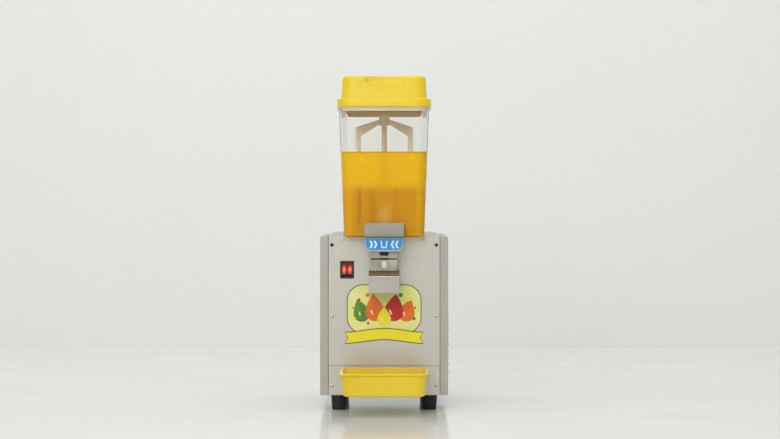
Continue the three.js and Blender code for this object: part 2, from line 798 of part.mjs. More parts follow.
function rearPanel() {
  const depths = [REAR_PANEL_Y - SHEET, REAR_PANEL_Y];
  const through = [depths[0] - OVERRUN, depths[1] + OVERRUN];
  const face = wideBlock(
    CABINET_WIDTH - 2 * (SHEET + CLEARANCE),
    depths,
    [FOOT_HEIGHT, DECK_SKIRT_Z - CLEARANCE],
  );
  const rows = [];
  for (let row = 0; row < LOUVRE_ROWS; row += 1) {
    const z = LOUVRE_LOWEST_Z + row * LOUVRE_PITCH;
    for (const side of [-1, 1]) {
      const x = side * (LOUVRE_LENGTH + LOUVRE_GAP) / 2;
      rows.push(block([x - LOUVRE_LENGTH / 2, x + LOUVRE_LENGTH / 2], through, [z, z + LOUVRE_WIDTH]));
    }
  }
  const inletHole = block(
    [INLET_X - inletBodyWidth / 2 - CLEARANCE, INLET_X + inletBodyWidth / 2 + CLEARANCE],
    through,
    [INLET_Z - inletBodyHeight / 2 - CLEARANCE, INLET_Z + inletBodyHeight / 2 + CLEARANCE],
  );
  const shaftHole = deepRod(KNOB_SHAFT_RADIUS + CLEARANCE, through, THERMOSTAT_X, THERMOSTAT_Z, SMALL_FACETS);
  return cut(face, ...rows, inletHole, shaftHole);
}
piece(cabinet, 'rear_panel', rearPanel(), galvanised());

// Screws in the front panels

function screwSolid() {
  const geometry = new THREE.LatheGeometry([
    new THREE.Vector2(0, -SCREW_HEAD_HEIGHT),
    new THREE.Vector2(SCREW_HEAD_RADIUS - SCREW_HEAD_HEIGHT / 2, -SCREW_HEAD_HEIGHT),
    new THREE.Vector2(SCREW_HEAD_RADIUS, -SCREW_HEAD_HEIGHT / 2),
    new THREE.Vector2(SCREW_HEAD_RADIUS, 0),
    new THREE.Vector2(SCREW_SHANK_RADIUS, 0),
    new THREE.Vector2(SCREW_SHANK_RADIUS, SCREW_LENGTH),
    new THREE.Vector2(0, SCREW_LENGTH),
  ], TINY_FACETS);
  return solidOf(geometry);
}

[...upperScrews, ...lowerScrews].forEach(([x, z], i) => {
  piece(cabinet, `panel_screw_${i + 1}`, screwSolid(), brightSteel(), [x, FRONT_Y, z]);
});

// Chilled dome, its coil and gasket

const cooling = assembly('cooling');

function domeSolid() {
  const shell = [];
  const edge = (radius, topZ, round) => {
    const arc = [];
    for (let step = 0; step <= CORNER_STEPS; step += 1) {
      const angle = step / CORNER_STEPS * Math.PI / 2;
      arc.push([
        radius - round + round * Math.cos(angle),
        topZ - round + round * Math.sin(angle),
      ]);
    }
    return arc;
  };
  shell.push([DOME_INNER_RADIUS, DECK_Z], [DOME_RADIUS + DOME_FLANGE, DECK_Z]);
  shell.push([DOME_RADIUS + DOME_FLANGE, DECK_Z + SHEET], [DOME_RADIUS, DECK_Z + SHEET]);
  shell.push(...edge(DOME_RADIUS, DOME_TOP_Z, DOME_EDGE), [0, DOME_TOP_Z], [0, DOME_TOP_Z - SHEET]);
  shell.push(...edge(DOME_INNER_RADIUS, DOME_TOP_Z - SHEET, DOME_EDGE - SHEET).reverse());
  shell.push([DOME_INNER_RADIUS, DECK_Z]);
  return turned(shell, FINE_FACETS, 0, DOME_Y);
}
piece(cooling, 'evaporator_dome', domeSolid(), brightSteel());

function gasketSolid() {
  const seat = DECK_Z + SHEET;
  const inner = DOME_RADIUS + CLEARANCE;
  return turned([
    [inner, seat],
    [DOME_RADIUS + DOME_FLANGE, seat],
    [DOME_RADIUS + DOME_FLANGE, BOWL_FLOOR_Z],
    [inner + GASKET_LIP, BOWL_FLOOR_Z],
    [inner + GASKET_LIP, BOWL_FLOOR_Z + GASKET_LIP_HEIGHT],
    [inner, BOWL_FLOOR_Z + GASKET_LIP_HEIGHT],
    [inner, seat],
  ], FINE_FACETS, 0, DOME_Y);
}
piece(cooling, 'bowl_gasket', gasketSolid(), greyRubber());

// The coil starts with a lead down through the deck and then climbs inside the dome
const coilRadius = DOME_INNER_RADIUS - CLEARANCE - COIL_TUBE_RADIUS;

class CoilCurve extends THREE.Curve {
  getPoint(t, target = new THREE.Vector3()) {
    const angle = COIL_START_ANGLE + t * COIL_TURNS * Math.PI * 2;
    const z = COIL_LOW_Z + t * (COIL_HIGH_Z - COIL_LOW_Z);
    return target.set(coilRadius * Math.cos(angle), coilRadius * Math.sin(angle), z);
  }
}

const coilLeadX = coilRadius * Math.cos(COIL_START_ANGLE);
const coilLeadY = DOME_Y + coilRadius * Math.sin(COIL_START_ANGLE);

function coilSolid() {
  const steps = COIL_TURNS * COIL_STEPS_PER_TURN;
  const winding = tubeAlong(new CoilCurve(), COIL_TUBE_RADIUS, steps, PIPE_SIDES);
  winding.translate(0, DOME_Y, 0);
  const lead = post(COIL_TUBE_RADIUS, [COIL_LEAD_Z, COIL_LOW_Z], PIPE_SIDES, coilLeadX, coilLeadY);
  return join(solidOf(winding), lead);
}
piece(cooling, 'evaporator_coil', coilSolid(), copper());

// Pump drive: a motor under the deck turns a magnet just below the dome's top

const magnetTopZ = DOME_TOP_Z - SHEET - MAGNET_GAP;

function driveRotor() {
  const magnetLowZ = magnetTopZ - MAGNET_HEIGHT;
  const shaftLowZ = DRIVE_MOTOR_TOP_Z - DRIVE_BORE_DEPTH + CLEARANCE;
  return turned([
    [0, shaftLowZ],
    [DRIVE_SHAFT_RADIUS, shaftLowZ],
    [DRIVE_SHAFT_RADIUS, magnetLowZ],
    [MAGNET_RADIUS, magnetLowZ],
    [MAGNET_RADIUS, magnetTopZ],
    [0, magnetTopZ],
  ], ROUND_FACETS, 0, DOME_Y);
}
const drive = assembly('pump_drive');
piece(drive, 'drive_rotor', driveRotor(), galvanised());

function driveMotor() {
  const low = DRIVE_MOTOR_TOP_Z - DRIVE_MOTOR_HEIGHT;
  const body = post(DRIVE_MOTOR_RADIUS, [low, DRIVE_MOTOR_TOP_Z], ROUND_FACETS, 0, DOME_Y);
  const bore = post(
    DRIVE_SHAFT_RADIUS + CLEARANCE,
    [DRIVE_MOTOR_TOP_Z - DRIVE_BORE_DEPTH, DRIVE_MOTOR_TOP_Z + OVERRUN],
    ROUND_FACETS,
    0,
    DOME_Y,
  );
  return cut(body, bore);
}
piece(drive, 'drive_motor', driveMotor(), blackEnamel());

// The strap hangs from the deck on both sides and carries the motor at its top face
function motorStrap() {
  const depths = [DOME_Y - STRAP_WIDTH / 2, DOME_Y + STRAP_WIDTH / 2];
  const low = DRIVE_MOTOR_TOP_Z + CLEARANCE;
  const high = DECK_UNDERSIDE_Z - CLEARANCE;
  const bridge = wideBlock(2 * STRAP_REACH, depths, [low, low + STRAP_SHEET]);
  const hangers = [-1, 1].map((side) => {
    const edges = [side * STRAP_REACH, side * (STRAP_REACH - STRAP_SHEET)].sort((a, b) => a - b);
    return block(edges, depths, [low, high]);
  });
  const feet = [-1, 1].map((side) => {
    const edges = [side * STRAP_REACH, side * (STRAP_REACH + STUB_OFFSET)].sort((a, b) => a - b);
    return block(edges, depths, [high - STRAP_SHEET, high]);
  });
  const hole = post(DRIVE_SHAFT_RADIUS * 2, [low - OVERRUN, high], SMALL_FACETS, 0, DOME_Y);
  return cut(join(bridge, ...hangers, ...feet), hole);
}
piece(drive, 'motor_strap', motorStrap(), galvanised());

// Spray pump on the dome, with its tube and hood

const spray = assembly('spray');
const pumpTopZ = DOME_TOP_Z + PUMP_HEIGHT;

function pumpCover() {
  const inside = PUMP_RADIUS - PUMP_WALL;
  const ceiling = pumpTopZ - PUMP_WALL;
  const cup = turned([
    [inside, DOME_TOP_Z],
    [PUMP_RADIUS, DOME_TOP_Z],
    [PUMP_RADIUS, ceiling],
    [PUMP_RADIUS - PUMP_WALL, pumpTopZ],
    [TUBE_BORE, pumpTopZ],
    [TUBE_BORE, ceiling],
    [inside, ceiling],
    [inside, DOME_TOP_Z],
  ], ROUND_FACETS, 0, DOME_Y);
  const ports = [
    block(
      [-PUMP_RADIUS - OVERRUN, PUMP_RADIUS + OVERRUN],
      [DOME_Y - PUMP_PORT_WIDTH / 2, DOME_Y + PUMP_PORT_WIDTH / 2],
      [DOME_TOP_Z - OVERRUN, DOME_TOP_Z + PUMP_PORT_HEIGHT],
    ),
    block(
      [-PUMP_PORT_WIDTH / 2, PUMP_PORT_WIDTH / 2],
      [DOME_Y - PUMP_RADIUS - OVERRUN, DOME_Y + PUMP_RADIUS + OVERRUN],
      [DOME_TOP_Z - OVERRUN, DOME_TOP_Z + PUMP_PORT_HEIGHT],
    ),
  ];
  return cut(cup, ...ports);
}
piece(spray, 'pump_cover', pumpCover(), beigePlastic());

function sprayTube() {
  const low = pumpTopZ;
  const high = HOOD_TOP_Z - HOOD_HUB_HEIGHT + HOOD_SOCKET_DEPTH - CLEARANCE;
  return turned([
    [TUBE_BORE, low],
    [TUBE_RADIUS, low],
    [TUBE_RADIUS, high],
    [TUBE_BORE, high],
    [TUBE_BORE, low],
  ], SMALL_FACETS, 0, DOME_Y);
}
piece(spray, 'spray_tube', sprayTube(), beigePlastic());

function sprayHood() {
  const reach = HOOD_SPAN / 2;
  const inner = reach - HOOD_LEG;
  const hub = HOOD_HUB_RADIUS;
  const right = [
    [hub, HOOD_ARM_LOW_Z],
    [inner, HOOD_CROTCH_Z],
    [inner, DOME_TOP_Z],
    [reach, DOME_TOP_Z],
    [reach, HOOD_EAVE_Z],
    [hub, HOOD_ARM_TOP_Z],
  ];
  const left = right.map(([x, z]) => [-x, z]).reverse();
  const arch = fromFrontView(
    outline([...right, ...left]),
    [DOME_Y - HOOD_DEPTH / 2, DOME_Y + HOOD_DEPTH / 2],
  );
  const hubLowZ = HOOD_TOP_Z - HOOD_HUB_HEIGHT;
  const cap = post(hub, [hubLowZ, HOOD_TOP_Z], ROUND_FACETS, 0, DOME_Y);
  const socket = post(
    TUBE_RADIUS + CLEARANCE,
    [hubLowZ - OVERRUN, hubLowZ + HOOD_SOCKET_DEPTH],
    SMALL_FACETS,
    0,
    DOME_Y,
  );
  return cut(join(arch, cap), socket);
}
piece(spray, 'spray_hood', sprayHood(), beigePlastic());

function impellerSolid() {
  const low = DOME_TOP_Z + CLEARANCE;
  const high = low + IMPELLER_HEIGHT;
  const disc = post(IMPELLER_RADIUS, [low, low + IMPELLER_DISC], ROUND_FACETS, 0, DOME_Y);
  const hub = post(IMPELLER_HUB_RADIUS, [low, high], ROUND_FACETS, 0, DOME_Y);
  const vanes = [];
  for (let i = 0; i < IMPELLER_VANES; i += 1) {
    const geometry = new THREE.BoxGeometry(IMPELLER_RADIUS - IMPELLER_VANE, IMPELLER_VANE, IMPELLER_HEIGHT);
    geometry.translate((IMPELLER_RADIUS - IMPELLER_VANE) / 2, 0, low + IMPELLER_HEIGHT / 2);
    geometry.rotateZ(i / IMPELLER_VANES * Math.PI * 2);
    geometry.translate(0, DOME_Y, 0);
    vanes.push(solidOf(geometry));
  }
  return join(disc, hub, ...vanes);
}
piece(spray, 'impeller', impellerSolid(), whitePlastic());

// Bowl

const bowlGroup = assembly('bowl_group');

function bowlSpreadAt(z) {
  return BOWL_TAPER * (z - BOWL_FLOOR_Z) / (BOWL_NECK_Z - BOWL_FLOOR_Z);
}

function bowlLevel(z, spread, inset) {
  return {
    width: BOWL_BASE_WIDTH + 2 * (spread - inset),
    depth: BOWL_BASE_DEPTH + 2 * (spread - inset),
    corner: BOWL_CORNER + spread - inset,
    y: BOWL_Y,
    z,
  };
}

// Levels of a rounded foot: its floor height, its radius and how far the surface lies inside the outer one
function footLevels(floorZ, round, inset, levelAt) {
  const levels = [];
  for (let step = 0; step <= CORNER_STEPS; step += 1) {
    const angle = step / CORNER_STEPS * Math.PI / 2;
    const z = floorZ + round * (1 - Math.cos(angle));
    levels.push(levelAt(z, inset + round * (1 - Math.sin(angle))));
  }
  return levels;
}

function bowlBody(inset, floorZ, round, topZ) {
  const foot = footLevels(floorZ, round, inset, (z, depthIn) => bowlLevel(z, bowlSpreadAt(z), depthIn));
  return drawnThrough([
    ...foot,
    bowlLevel(BOWL_NECK_Z, BOWL_TAPER, inset),
    bowlLevel(BOWL_RIM_Z - BOWL_RIM_EDGE, BOWL_SPREAD, inset),
    bowlLevel(topZ, BOWL_SPREAD, inset),
  ]);
}

function sumpBody(inset, floorZ, round, topZ) {
  const front = BOWL_FRONT_Y;
  const rear = FRONT_Y - SUMP_GAP;
  const levelAt = (z, depthIn) => ({
    width: BOWL_BASE_WIDTH - 2 * depthIn,
    depth: rear - front - 2 * depthIn,
    corner: BOWL_CORNER - depthIn,
    y: (front + rear) / 2,
    z,
  });
  return drawnThrough([...footLevels(floorZ, round, inset, levelAt), levelAt(topZ, inset)]);
}

function bowlSolid() {
  const innerRound = BOWL_FOOT_ROUND - BOWL_WALL;
  const blendZ = BOWL_FLOOR_Z + BOWL_FOOT_ROUND;
  const outside = join(
    bowlBody(0, BOWL_FLOOR_Z, BOWL_FOOT_ROUND, BOWL_RIM_Z),
    sumpBody(0, SUMP_Z, SUMP_ROUND, blendZ),
  );
  const domeHole = post(
    BOWL_HOLE_RADIUS,
    [BOWL_FLOOR_Z - OVERRUN, BOWL_INSIDE_Z + OVERRUN],
    FINE_FACETS,
    0,
    DOME_Y,
  );
  const outlet = post(
    OUTLET_RADIUS,
    [SUMP_Z - OVERRUN, SUMP_Z + BOWL_WALL + OVERRUN],
    ROUND_FACETS,
    0,
    OUTLET_Y,
  );
  return cut(
    outside,
    bowlBody(BOWL_WALL, BOWL_INSIDE_Z, innerRound, BOWL_RIM_Z + OVERRUN),
    sumpBody(BOWL_WALL, SUMP_Z + BOWL_WALL, SUMP_ROUND - BOWL_WALL, blendZ + OVERRUN),
    domeHole,
    outlet,
  );
}
piece(bowlGroup, 'bowl', bowlSolid(), clearPlastic());

// Lid, which rests on the rim

const lidGroup = assembly('lid_group');

function lidLevel(z, inset, corner) {
  return { width: RIM_WIDTH - 2 * inset, depth: RIM_DEPTH - 2 * inset, corner, y: BOWL_Y, z };
}

function lidShape(wall, lowZ, highZ) {
  const skirtTop = BOWL_RIM_Z + LID_SKIRT_HEIGHT - wall;
  const body = LID_BODY_INSET + wall;
  const crown = body + LID_BODY_DRAFT;
  const corner = BOWL_CORNER + BOWL_SPREAD - wall;
  return drawnThrough([
    lidLevel(lowZ, wall, corner),
    lidLevel(skirtTop - LID_SHOULDER, wall, corner),
    lidLevel(skirtTop, wall + LID_SHOULDER, corner - LID_SHOULDER),
    lidLevel(skirtTop + LID_SHOULDER, body, corner - LID_BODY_INSET),
    lidLevel(highZ - LID_TOP_ROUND, crown, corner - LID_BODY_INSET),
    lidLevel(highZ - LID_TOP_ROUND / 3, crown + LID_TOP_ROUND / 3, corner - LID_BODY_INSET),
    lidLevel(highZ, crown + LID_TOP_ROUND, corner - LID_BODY_INSET - LID_TOP_ROUND / 2),
  ]);
}

// A finger recess with slanted ends in the lid's top edge, at the front or at the rear
function gripRecess(sign, wall) {
  const half = GRIP_WIDTH / 2 + wall;
  const low = LID_TOP_Z - GRIP_HEIGHT - wall;
  const high = LID_TOP_Z + OVERRUN;
  const shape = outline([
    [-half, low],
    [half, low],
    [half + GRIP_SLANT, high],
    [-half - GRIP_SLANT, high],
  ]);
  const edge = BOWL_Y + sign * (RIM_DEPTH / 2 - LID_BODY_INSET);
  const inner = edge - sign * (GRIP_DEPTH + wall);
  const outer = edge + sign * OVERRUN;
  return fromFrontView(shape, [Math.min(inner, outer), Math.max(inner, outer)]);
}

function lidSolid() {
  const outside = lidShape(0, BOWL_RIM_Z, LID_TOP_Z);
  const inside = lidShape(LID_WALL, BOWL_RIM_Z - OVERRUN, LID_TOP_Z - LID_WALL);
  const pockets = [-1, 1].map((sign) => outside.intersect(gripRecess(sign, LID_WALL)));
  const shell = join(cut(outside, inside), ...pockets);
  const lipOuter = BOWL_WALL + LID_LIP_GAP;
  const corner = BOWL_CORNER + BOWL_SPREAD - lipOuter;
  const lipTop = BOWL_RIM_Z + LID_WALL;
  const lipLow = BOWL_RIM_Z - LID_LIP_DEPTH;
  const narrow = lipOuter + BOWL_FLARE;
  const lip = drawnThrough([
    lidLevel(lipLow, narrow, corner - BOWL_FLARE),
    lidLevel(BOWL_RIM_Z, lipOuter, corner),
    lidLevel(lipTop, lipOuter, corner),
  ]);
  const lipHollow = drawnThrough([
    lidLevel(lipLow - OVERRUN, narrow + LID_WALL, corner - BOWL_FLARE - LID_WALL),
    lidLevel(lipTop + OVERRUN, narrow + LID_WALL, corner - BOWL_FLARE - LID_WALL),
  ]);
  const seat = cut(
    drawnThrough([lidLevel(BOWL_RIM_Z, 0, corner + lipOuter), lidLevel(lipTop, 0, corner + lipOuter)]),
    lipHollow,
  );
  return cut(join(shell, seat, cut(lip, lipHollow)), gripRecess(-1, 0), gripRecess(1, 0));
}
piece(lidGroup, 'lid', lidSolid(), yellowPlastic());

// Tap: barrel, cage, plunger, seal and spring

const tap = assembly('tap');
const bracketTopZ = SUMP_Z;
const flangeTopZ = bracketTopZ - BRACKET_SHEET - CLEARANCE;
const flangeLowZ = flangeTopZ - BARREL_FLANGE;
const spigotRadius = OUTLET_RADIUS - CLEARANCE;

function barrelSolid() {
  const body = turned([
    [BARREL_BORE, BARREL_TIP_Z],
    [BARREL_RADIUS, BARREL_TIP_Z],
    [BARREL_RADIUS, flangeLowZ],
    [BARREL_FLANGE_RADIUS, flangeLowZ],
    [BARREL_FLANGE_RADIUS, flangeTopZ],
    [spigotRadius, flangeTopZ],
    [spigotRadius, SPIGOT_TOP_Z],
    [BARREL_BORE, SPIGOT_TOP_Z],
    [BARREL_BORE, BARREL_TIP_Z],
  ], ROUND_FACETS, 0, OUTLET_Y);
  const gap = CROSS_PIN_RADIUS + CLEARANCE;
  const pinSlot = block(
    [-BARREL_RADIUS - OVERRUN, BARREL_RADIUS + OVERRUN],
    [OUTLET_Y - gap, OUTLET_Y + gap],
    [CROSS_PIN_Z - gap, CROSS_PIN_Z + gap + LIFT_TRAVEL],
  );
  return cut(body, pinSlot);
}
piece(tap, 'tap_barrel', barrelSolid(), whitePlastic());

function cageSolid() {
  const floor = SUMP_Z + BOWL_WALL;
  const inside = CAGE_RADIUS - CAGE_WALL;
  const roofLow = CAGE_TOP_Z - CAGE_ROOF;
  const rodHole = PLUNGER_ROD_RADIUS + CLEARANCE;
  const body = turned([
    [inside, floor],
    [CAGE_RADIUS, floor],
    [CAGE_RADIUS, roofLow],
    [CAGE_RADIUS - CAGE_ROOF, CAGE_TOP_Z],
    [rodHole, CAGE_TOP_Z],
    [rodHole, roofLow],
    [inside, roofLow],
    [inside, floor],
  ], ROUND_FACETS, 0, OUTLET_Y);
  const half = CAGE_PORT_WIDTH / 2;
  const reach = CAGE_RADIUS + OVERRUN;
  const heights = [CAGE_PORT_LOW_Z, CAGE_PORT_HIGH_Z];
  const acrossPorts = block([-reach, reach], [OUTLET_Y - half, OUTLET_Y + half], heights);
  const deepPorts = block([-half, half], [OUTLET_Y - reach, OUTLET_Y + reach], heights);
  return cut(body, acrossPorts, deepPorts);
}
piece(tap, 'valve_cage', cageSolid(), whitePlastic());

const sealLowZ = SPIGOT_TOP_Z + CLEARANCE;
const sealTopZ = sealLowZ + PLUNGER_SEAL;
const shoulderTopZ = sealTopZ + PLUNGER_SHOULDER;

function plungerSolid() {
  const rodTopZ = CAGE_TOP_Z + PLUNGER_HOOK_RISE / 2;
  const rod = turned([
    [0, PLUNGER_ROD_LOW_Z],
    [PLUNGER_ROD_RADIUS, PLUNGER_ROD_LOW_Z],
    [PLUNGER_ROD_RADIUS, sealTopZ],
    [PLUNGER_SHOULDER_RADIUS, sealTopZ],
    [PLUNGER_SHOULDER_RADIUS, shoulderTopZ],
    [PLUNGER_ROD_RADIUS, shoulderTopZ],
    [PLUNGER_ROD_RADIUS, rodTopZ],
    [0, rodTopZ],
  ], SMALL_FACETS, 0, OUTLET_Y);
  const pinReach = [-CROSS_PIN_REACH, CROSS_PIN_REACH];
  const pin = crossRod(CROSS_PIN_RADIUS, pinReach, OUTLET_Y, CROSS_PIN_Z, TINY_FACETS);
  const hookTopZ = CAGE_TOP_Z + PLUNGER_HOOK_RISE;
  const hook = pipeThrough([
    [0, OUTLET_Y, rodTopZ - PLUNGER_HOOK_WIRE],
    [0, OUTLET_Y, hookTopZ - PLUNGER_HOOK_RADIUS / 2],
    [-PLUNGER_HOOK_RADIUS / 2, OUTLET_Y, hookTopZ],
    [-PLUNGER_HOOK_RADIUS, OUTLET_Y, hookTopZ - PLUNGER_HOOK_RADIUS / 2],
  ], PLUNGER_HOOK_WIRE, TINY_FACETS);
  return join(rod, pin, hook);
}
piece(tap, 'valve_plunger', plungerSolid(), whitePlastic());

function sealSolid() {
  const bore = PLUNGER_ROD_RADIUS + CLEARANCE;
  return turned([
    [bore, sealLowZ],
    [PLUNGER_SEAL_RADIUS, sealLowZ],
    [PLUNGER_SEAL_RADIUS, sealTopZ],
    [bore, sealTopZ],
    [bore, sealLowZ],
  ], SMALL_FACETS, 0, OUTLET_Y);
}
piece(tap, 'plunger_seal', sealSolid(), blackRubber());

const springLowZ = shoulderTopZ + CLEARANCE + SPRING_WIRE;
const springHighZ = CAGE_TOP_Z - CAGE_ROOF - CLEARANCE - SPRING_WIRE;

class SpringCurve extends THREE.Curve {
  getPoint(t, target = new THREE.Vector3()) {
    const angle = t * SPRING_TURNS * Math.PI * 2;
    const z = springLowZ + t * (springHighZ - springLowZ);
    return target.set(SPRING_RADIUS * Math.cos(angle), OUTLET_Y + SPRING_RADIUS * Math.sin(angle), z);
  }
}

// The least gap from the wire to itself, measured between points one turn apart
function springSelfGap() {
  const curve = new SpringCurve();
  const samples = SPRING_TURNS * SPRING_STEPS_PER_TURN;
  const points = curve.getPoints(samples);
  let least = Infinity;
  for (let i = 0; i < points.length; i += 1) {
    for (let k = i + SPRING_STEPS_PER_TURN / 2; k < points.length; k += 1) {
      least = Math.min(least, points[i].distanceTo(points[k]));
    }
  }
  return least - 2 * SPRING_WIRE;
}
console.log(`valve_spring least gap to itself: ${springSelfGap().toFixed(2)} mm`);

const springSteps = SPRING_TURNS * SPRING_STEPS_PER_TURN;
const springSolid = solidOf(tubeAlong(new SpringCurve(), SPRING_WIRE, springSteps, SPRING_SIDES));
piece(tap, 'valve_spring', springSolid, brightSteel());

// Bracket under the bowl, which carries the lever's pivot and the spout guard

function bracketSolid() {
  const face = BRACKET_FACE_Y;
  const back = face + BRACKET_SHEET;
  const low = GUARD_TOP_Z + CLEARANCE;
  const foldLow = BRACKET_FOLD_Z - BRACKET_FOLD_DROP;
  const profile = outline([
    [face, bracketTopZ],
    [face, BRACKET_FOLD_Z],
    [face - BRACKET_FOLD_STEP, foldLow],
    [face - BRACKET_FOLD_STEP, low],
    [back - BRACKET_FOLD_STEP, low],
    [back - BRACKET_FOLD_STEP, foldLow],
    [back, BRACKET_FOLD_Z],
    [back, bracketTopZ],
  ]);
  const half = BRACKET_WIDTH / 2;
  const front = fromSideView(profile, [-half, half]);
  const shelf = block(
    [-half, half],
    [face, OUTLET_Y + BARREL_FLANGE_RADIUS],
    [bracketTopZ - BRACKET_SHEET, bracketTopZ],
  );
  const cheeks = [-1, 1].map((side) => {
    const edges = [side * half, side * (half - BRACKET_SHEET)].sort((a, b) => a - b);
    return block(edges, [face, face + BRACKET_CHEEK], [BRACKET_CHEEK_LOW_Z, bracketTopZ]);
  });
  const spigotHole = post(
    OUTLET_RADIUS,
    [bracketTopZ - BRACKET_SHEET - OVERRUN, bracketTopZ + OVERRUN],
    ROUND_FACETS,
    0,
    OUTLET_Y,
  );
  const through = [-half - OVERRUN, half + OVERRUN];
  const pivotHole = crossRod(PIVOT_RADIUS + CLEARANCE, through, PIVOT_Y, PIVOT_Z, TINY_FACETS);
  return cut(join(front, shelf, ...cheeks), spigotHole, pivotHole);
}
piece(tap, 'tap_bracket', bracketSolid(), steel());

const earInner = BRACKET_WIDTH / 2 + LEVER_EAR_GAP;
const earOuter = earInner + LEVER_SHEET;

function pivotPin() {
  const reach = earOuter + CLEARANCE;
  const head = reach + PIVOT_HEAD;
  return join(
    crossRod(PIVOT_RADIUS, [-reach, reach], PIVOT_Y, PIVOT_Z, TINY_FACETS),
    crossRod(PIVOT_HEAD_RADIUS, [-head, -reach], PIVOT_Y, PIVOT_Z, TINY_FACETS),
    crossRod(PIVOT_HEAD_RADIUS, [reach, head], PIVOT_Y, PIVOT_Z, TINY_FACETS),
  );
}
piece(tap, 'pivot_pin', pivotPin(), brightSteel());

// Open below and behind, so that the spout ends inside it
function guardSolid() {
  const profileAt = (inset, low, back) => outline([
    [back, GUARD_TOP_Z - inset],
    [GUARD_FACE_Y + GUARD_SLOPE_STEP, GUARD_TOP_Z - inset],
    [GUARD_FACE_Y + inset, GUARD_SHOULDER_Z - inset / 2],
    [GUARD_FACE_Y + inset, low],
    [back, low],
  ]);
  const half = GUARD_WIDTH / 2;
  const inner = half - GUARD_SHEET;
  const back = FRONT_Y - GUARD_BACK;
  const outer = fromSideView(profileAt(0, GUARD_LOW_Z, back), [-half, half]);
  const hollow = fromSideView(profileAt(GUARD_SHEET, GUARD_LOW_Z - OVERRUN, back + OVERRUN), [-inner, inner]);
  const barrelHole = post(
    BARREL_RADIUS + CLEARANCE,
    [GUARD_TOP_Z - GUARD_SHEET - OVERRUN, GUARD_TOP_Z + OVERRUN],
    ROUND_FACETS,
    0,
    OUTLET_Y,
  );
  return cut(outer, hollow, barrelHole);
}
piece(tap, 'spout_guard', guardSolid(), steel());

// A rubber stop for the lever and the clip that holds the guard, both on the bracket's face

function capsuleOutline(width, height) {
  return roundedOutline(width, height, Math.min(width, height) / 2);
}

const stopSolid = fromFrontView(
  capsuleOutline(STOP_WIDTH, STOP_HEIGHT),
  [BRACKET_FACE_Y - STOP_DEPTH, BRACKET_FACE_Y],
  0,
  STOP_Z,
);
piece(tap, 'lever_stop', stopSolid, blackRubber());

const clipFaceY = BRACKET_FACE_Y - BRACKET_FOLD_STEP;
const clipSolid = fromFrontView(
  capsuleOutline(CLIP_WIDTH, CLIP_HEIGHT),
  [clipFaceY - CLIP_DEPTH, clipFaceY],
  0,
  CLIP_Z,
);
piece(tap, 'guard_clip', clipSolid, whitePlastic());

// Push lever: a bent plate with a label face, a leaning top and two ears that lift the plunger

const lever = assembly('lever');

function leverFaceOutline(margin, low, high) {
  const half = LEVER_WIDTH / 2 - margin;
  const toe = LEVER_TOE_WIDTH / 2 - margin;
  const shape = new THREE.Shape();
  shape.moveTo(-half, high);
  shape.lineTo(-half, (low + high) / 2);
  shape.quadraticCurveTo(-half + LEVER_TOE_CORNER / 2, low + LEVER_TOE_CORNER / 2, -toe, low);
  shape.lineTo(toe, low);
  shape.quadraticCurveTo(half - LEVER_TOE_CORNER / 2, low + LEVER_TOE_CORNER / 2, half, (low + high) / 2);
  shape.lineTo(half, high);
  shape.closePath();
  return shape;
}

function leverEar(side) {
  const prongTopZ = CROSS_PIN_Z - CROSS_PIN_RADIUS - CLEARANCE;
  const earFront = LEVER_FACE_Y + LEVER_SHEET / 2;
  const earBack = PIVOT_Y + LEVER_EAR_RISE;
  const prongLowZ = prongTopZ - LEVER_PRONG_HEIGHT;
  const profile = outline([
    [earFront, PIVOT_Z - LEVER_EAR_DROP],
    [earBack, prongLowZ],
    [OUTLET_Y + LEVER_PRONG_TAIL, prongLowZ],
    [OUTLET_Y + LEVER_PRONG_TAIL, prongTopZ],
    [earBack + LEVER_SHEET, prongTopZ],
    [earBack, PIVOT_Z + LEVER_EAR_RISE],
    [earFront, PIVOT_Z + LEVER_EAR_RISE],
  ]);
  const edges = [side * earInner, side * earOuter].sort((a, b) => a - b);
  return fromSideView(profile, edges);
}

function leverSolid() {
  const face = LEVER_FACE_Y;
  const back = face + LEVER_SHEET;
  const lip = face - LEVER_LIP_STEP;
  const lean = lip + LEVER_TOP_LEAN;
  const profile = outline([
    [face, LEVER_LOW_Z],
    [face, LEVER_LABEL_TOP_Z],
    [lip, LEVER_LIP_Z - LEVER_SHEET],
    [lip, LEVER_CREST_Z],
    [lean, LEVER_TOP_Z],
    [lean + LEVER_SHEET, LEVER_TOP_Z],
    [lip + LEVER_SHEET, LEVER_CREST_Z],
    [lip + LEVER_SHEET, LEVER_LIP_Z],
    [back, LEVER_LABEL_TOP_Z + LEVER_SHEET],
    [back, LEVER_LOW_Z],
  ]);
  const half = LEVER_WIDTH / 2;
  const bent = fromSideView(profile, [-half, half]);
  const frontView = leverFaceOutline(0, LEVER_LOW_Z, LEVER_TOP_Z + OVERRUN);
  const trim = fromFrontView(frontView, [lip - OVERRUN, lean + OVERRUN]);
  const ears = [-1, 1].map(leverEar);
  const pivotHole = crossRod(
    PIVOT_RADIUS + CLEARANCE,
    [-earOuter - OVERRUN, earOuter + OVERRUN],
    PIVOT_Y,
    PIVOT_Z,
    TINY_FACETS,
  );
  return cut(join(bent.intersect(trim), ...ears), pivotHole);
}
piece(lever, 'push_lever', leverSolid(), steel());

const labelSolid = fromFrontView(
  leverFaceOutline(LABEL_MARGIN, LEVER_LOW_Z + LABEL_MARGIN, LEVER_LABEL_TOP_Z - LABEL_MARGIN),
  [LEVER_FACE_Y - LABEL_SHEET, LEVER_FACE_Y],
);
piece(lever, 'lever_label', labelSolid, blueLabel());

// Twin rocker switch

const controls = assembly('controls');
const wellHeight = ROCKER_HEIGHT + 2 * ROCKER_WELL_GAP;

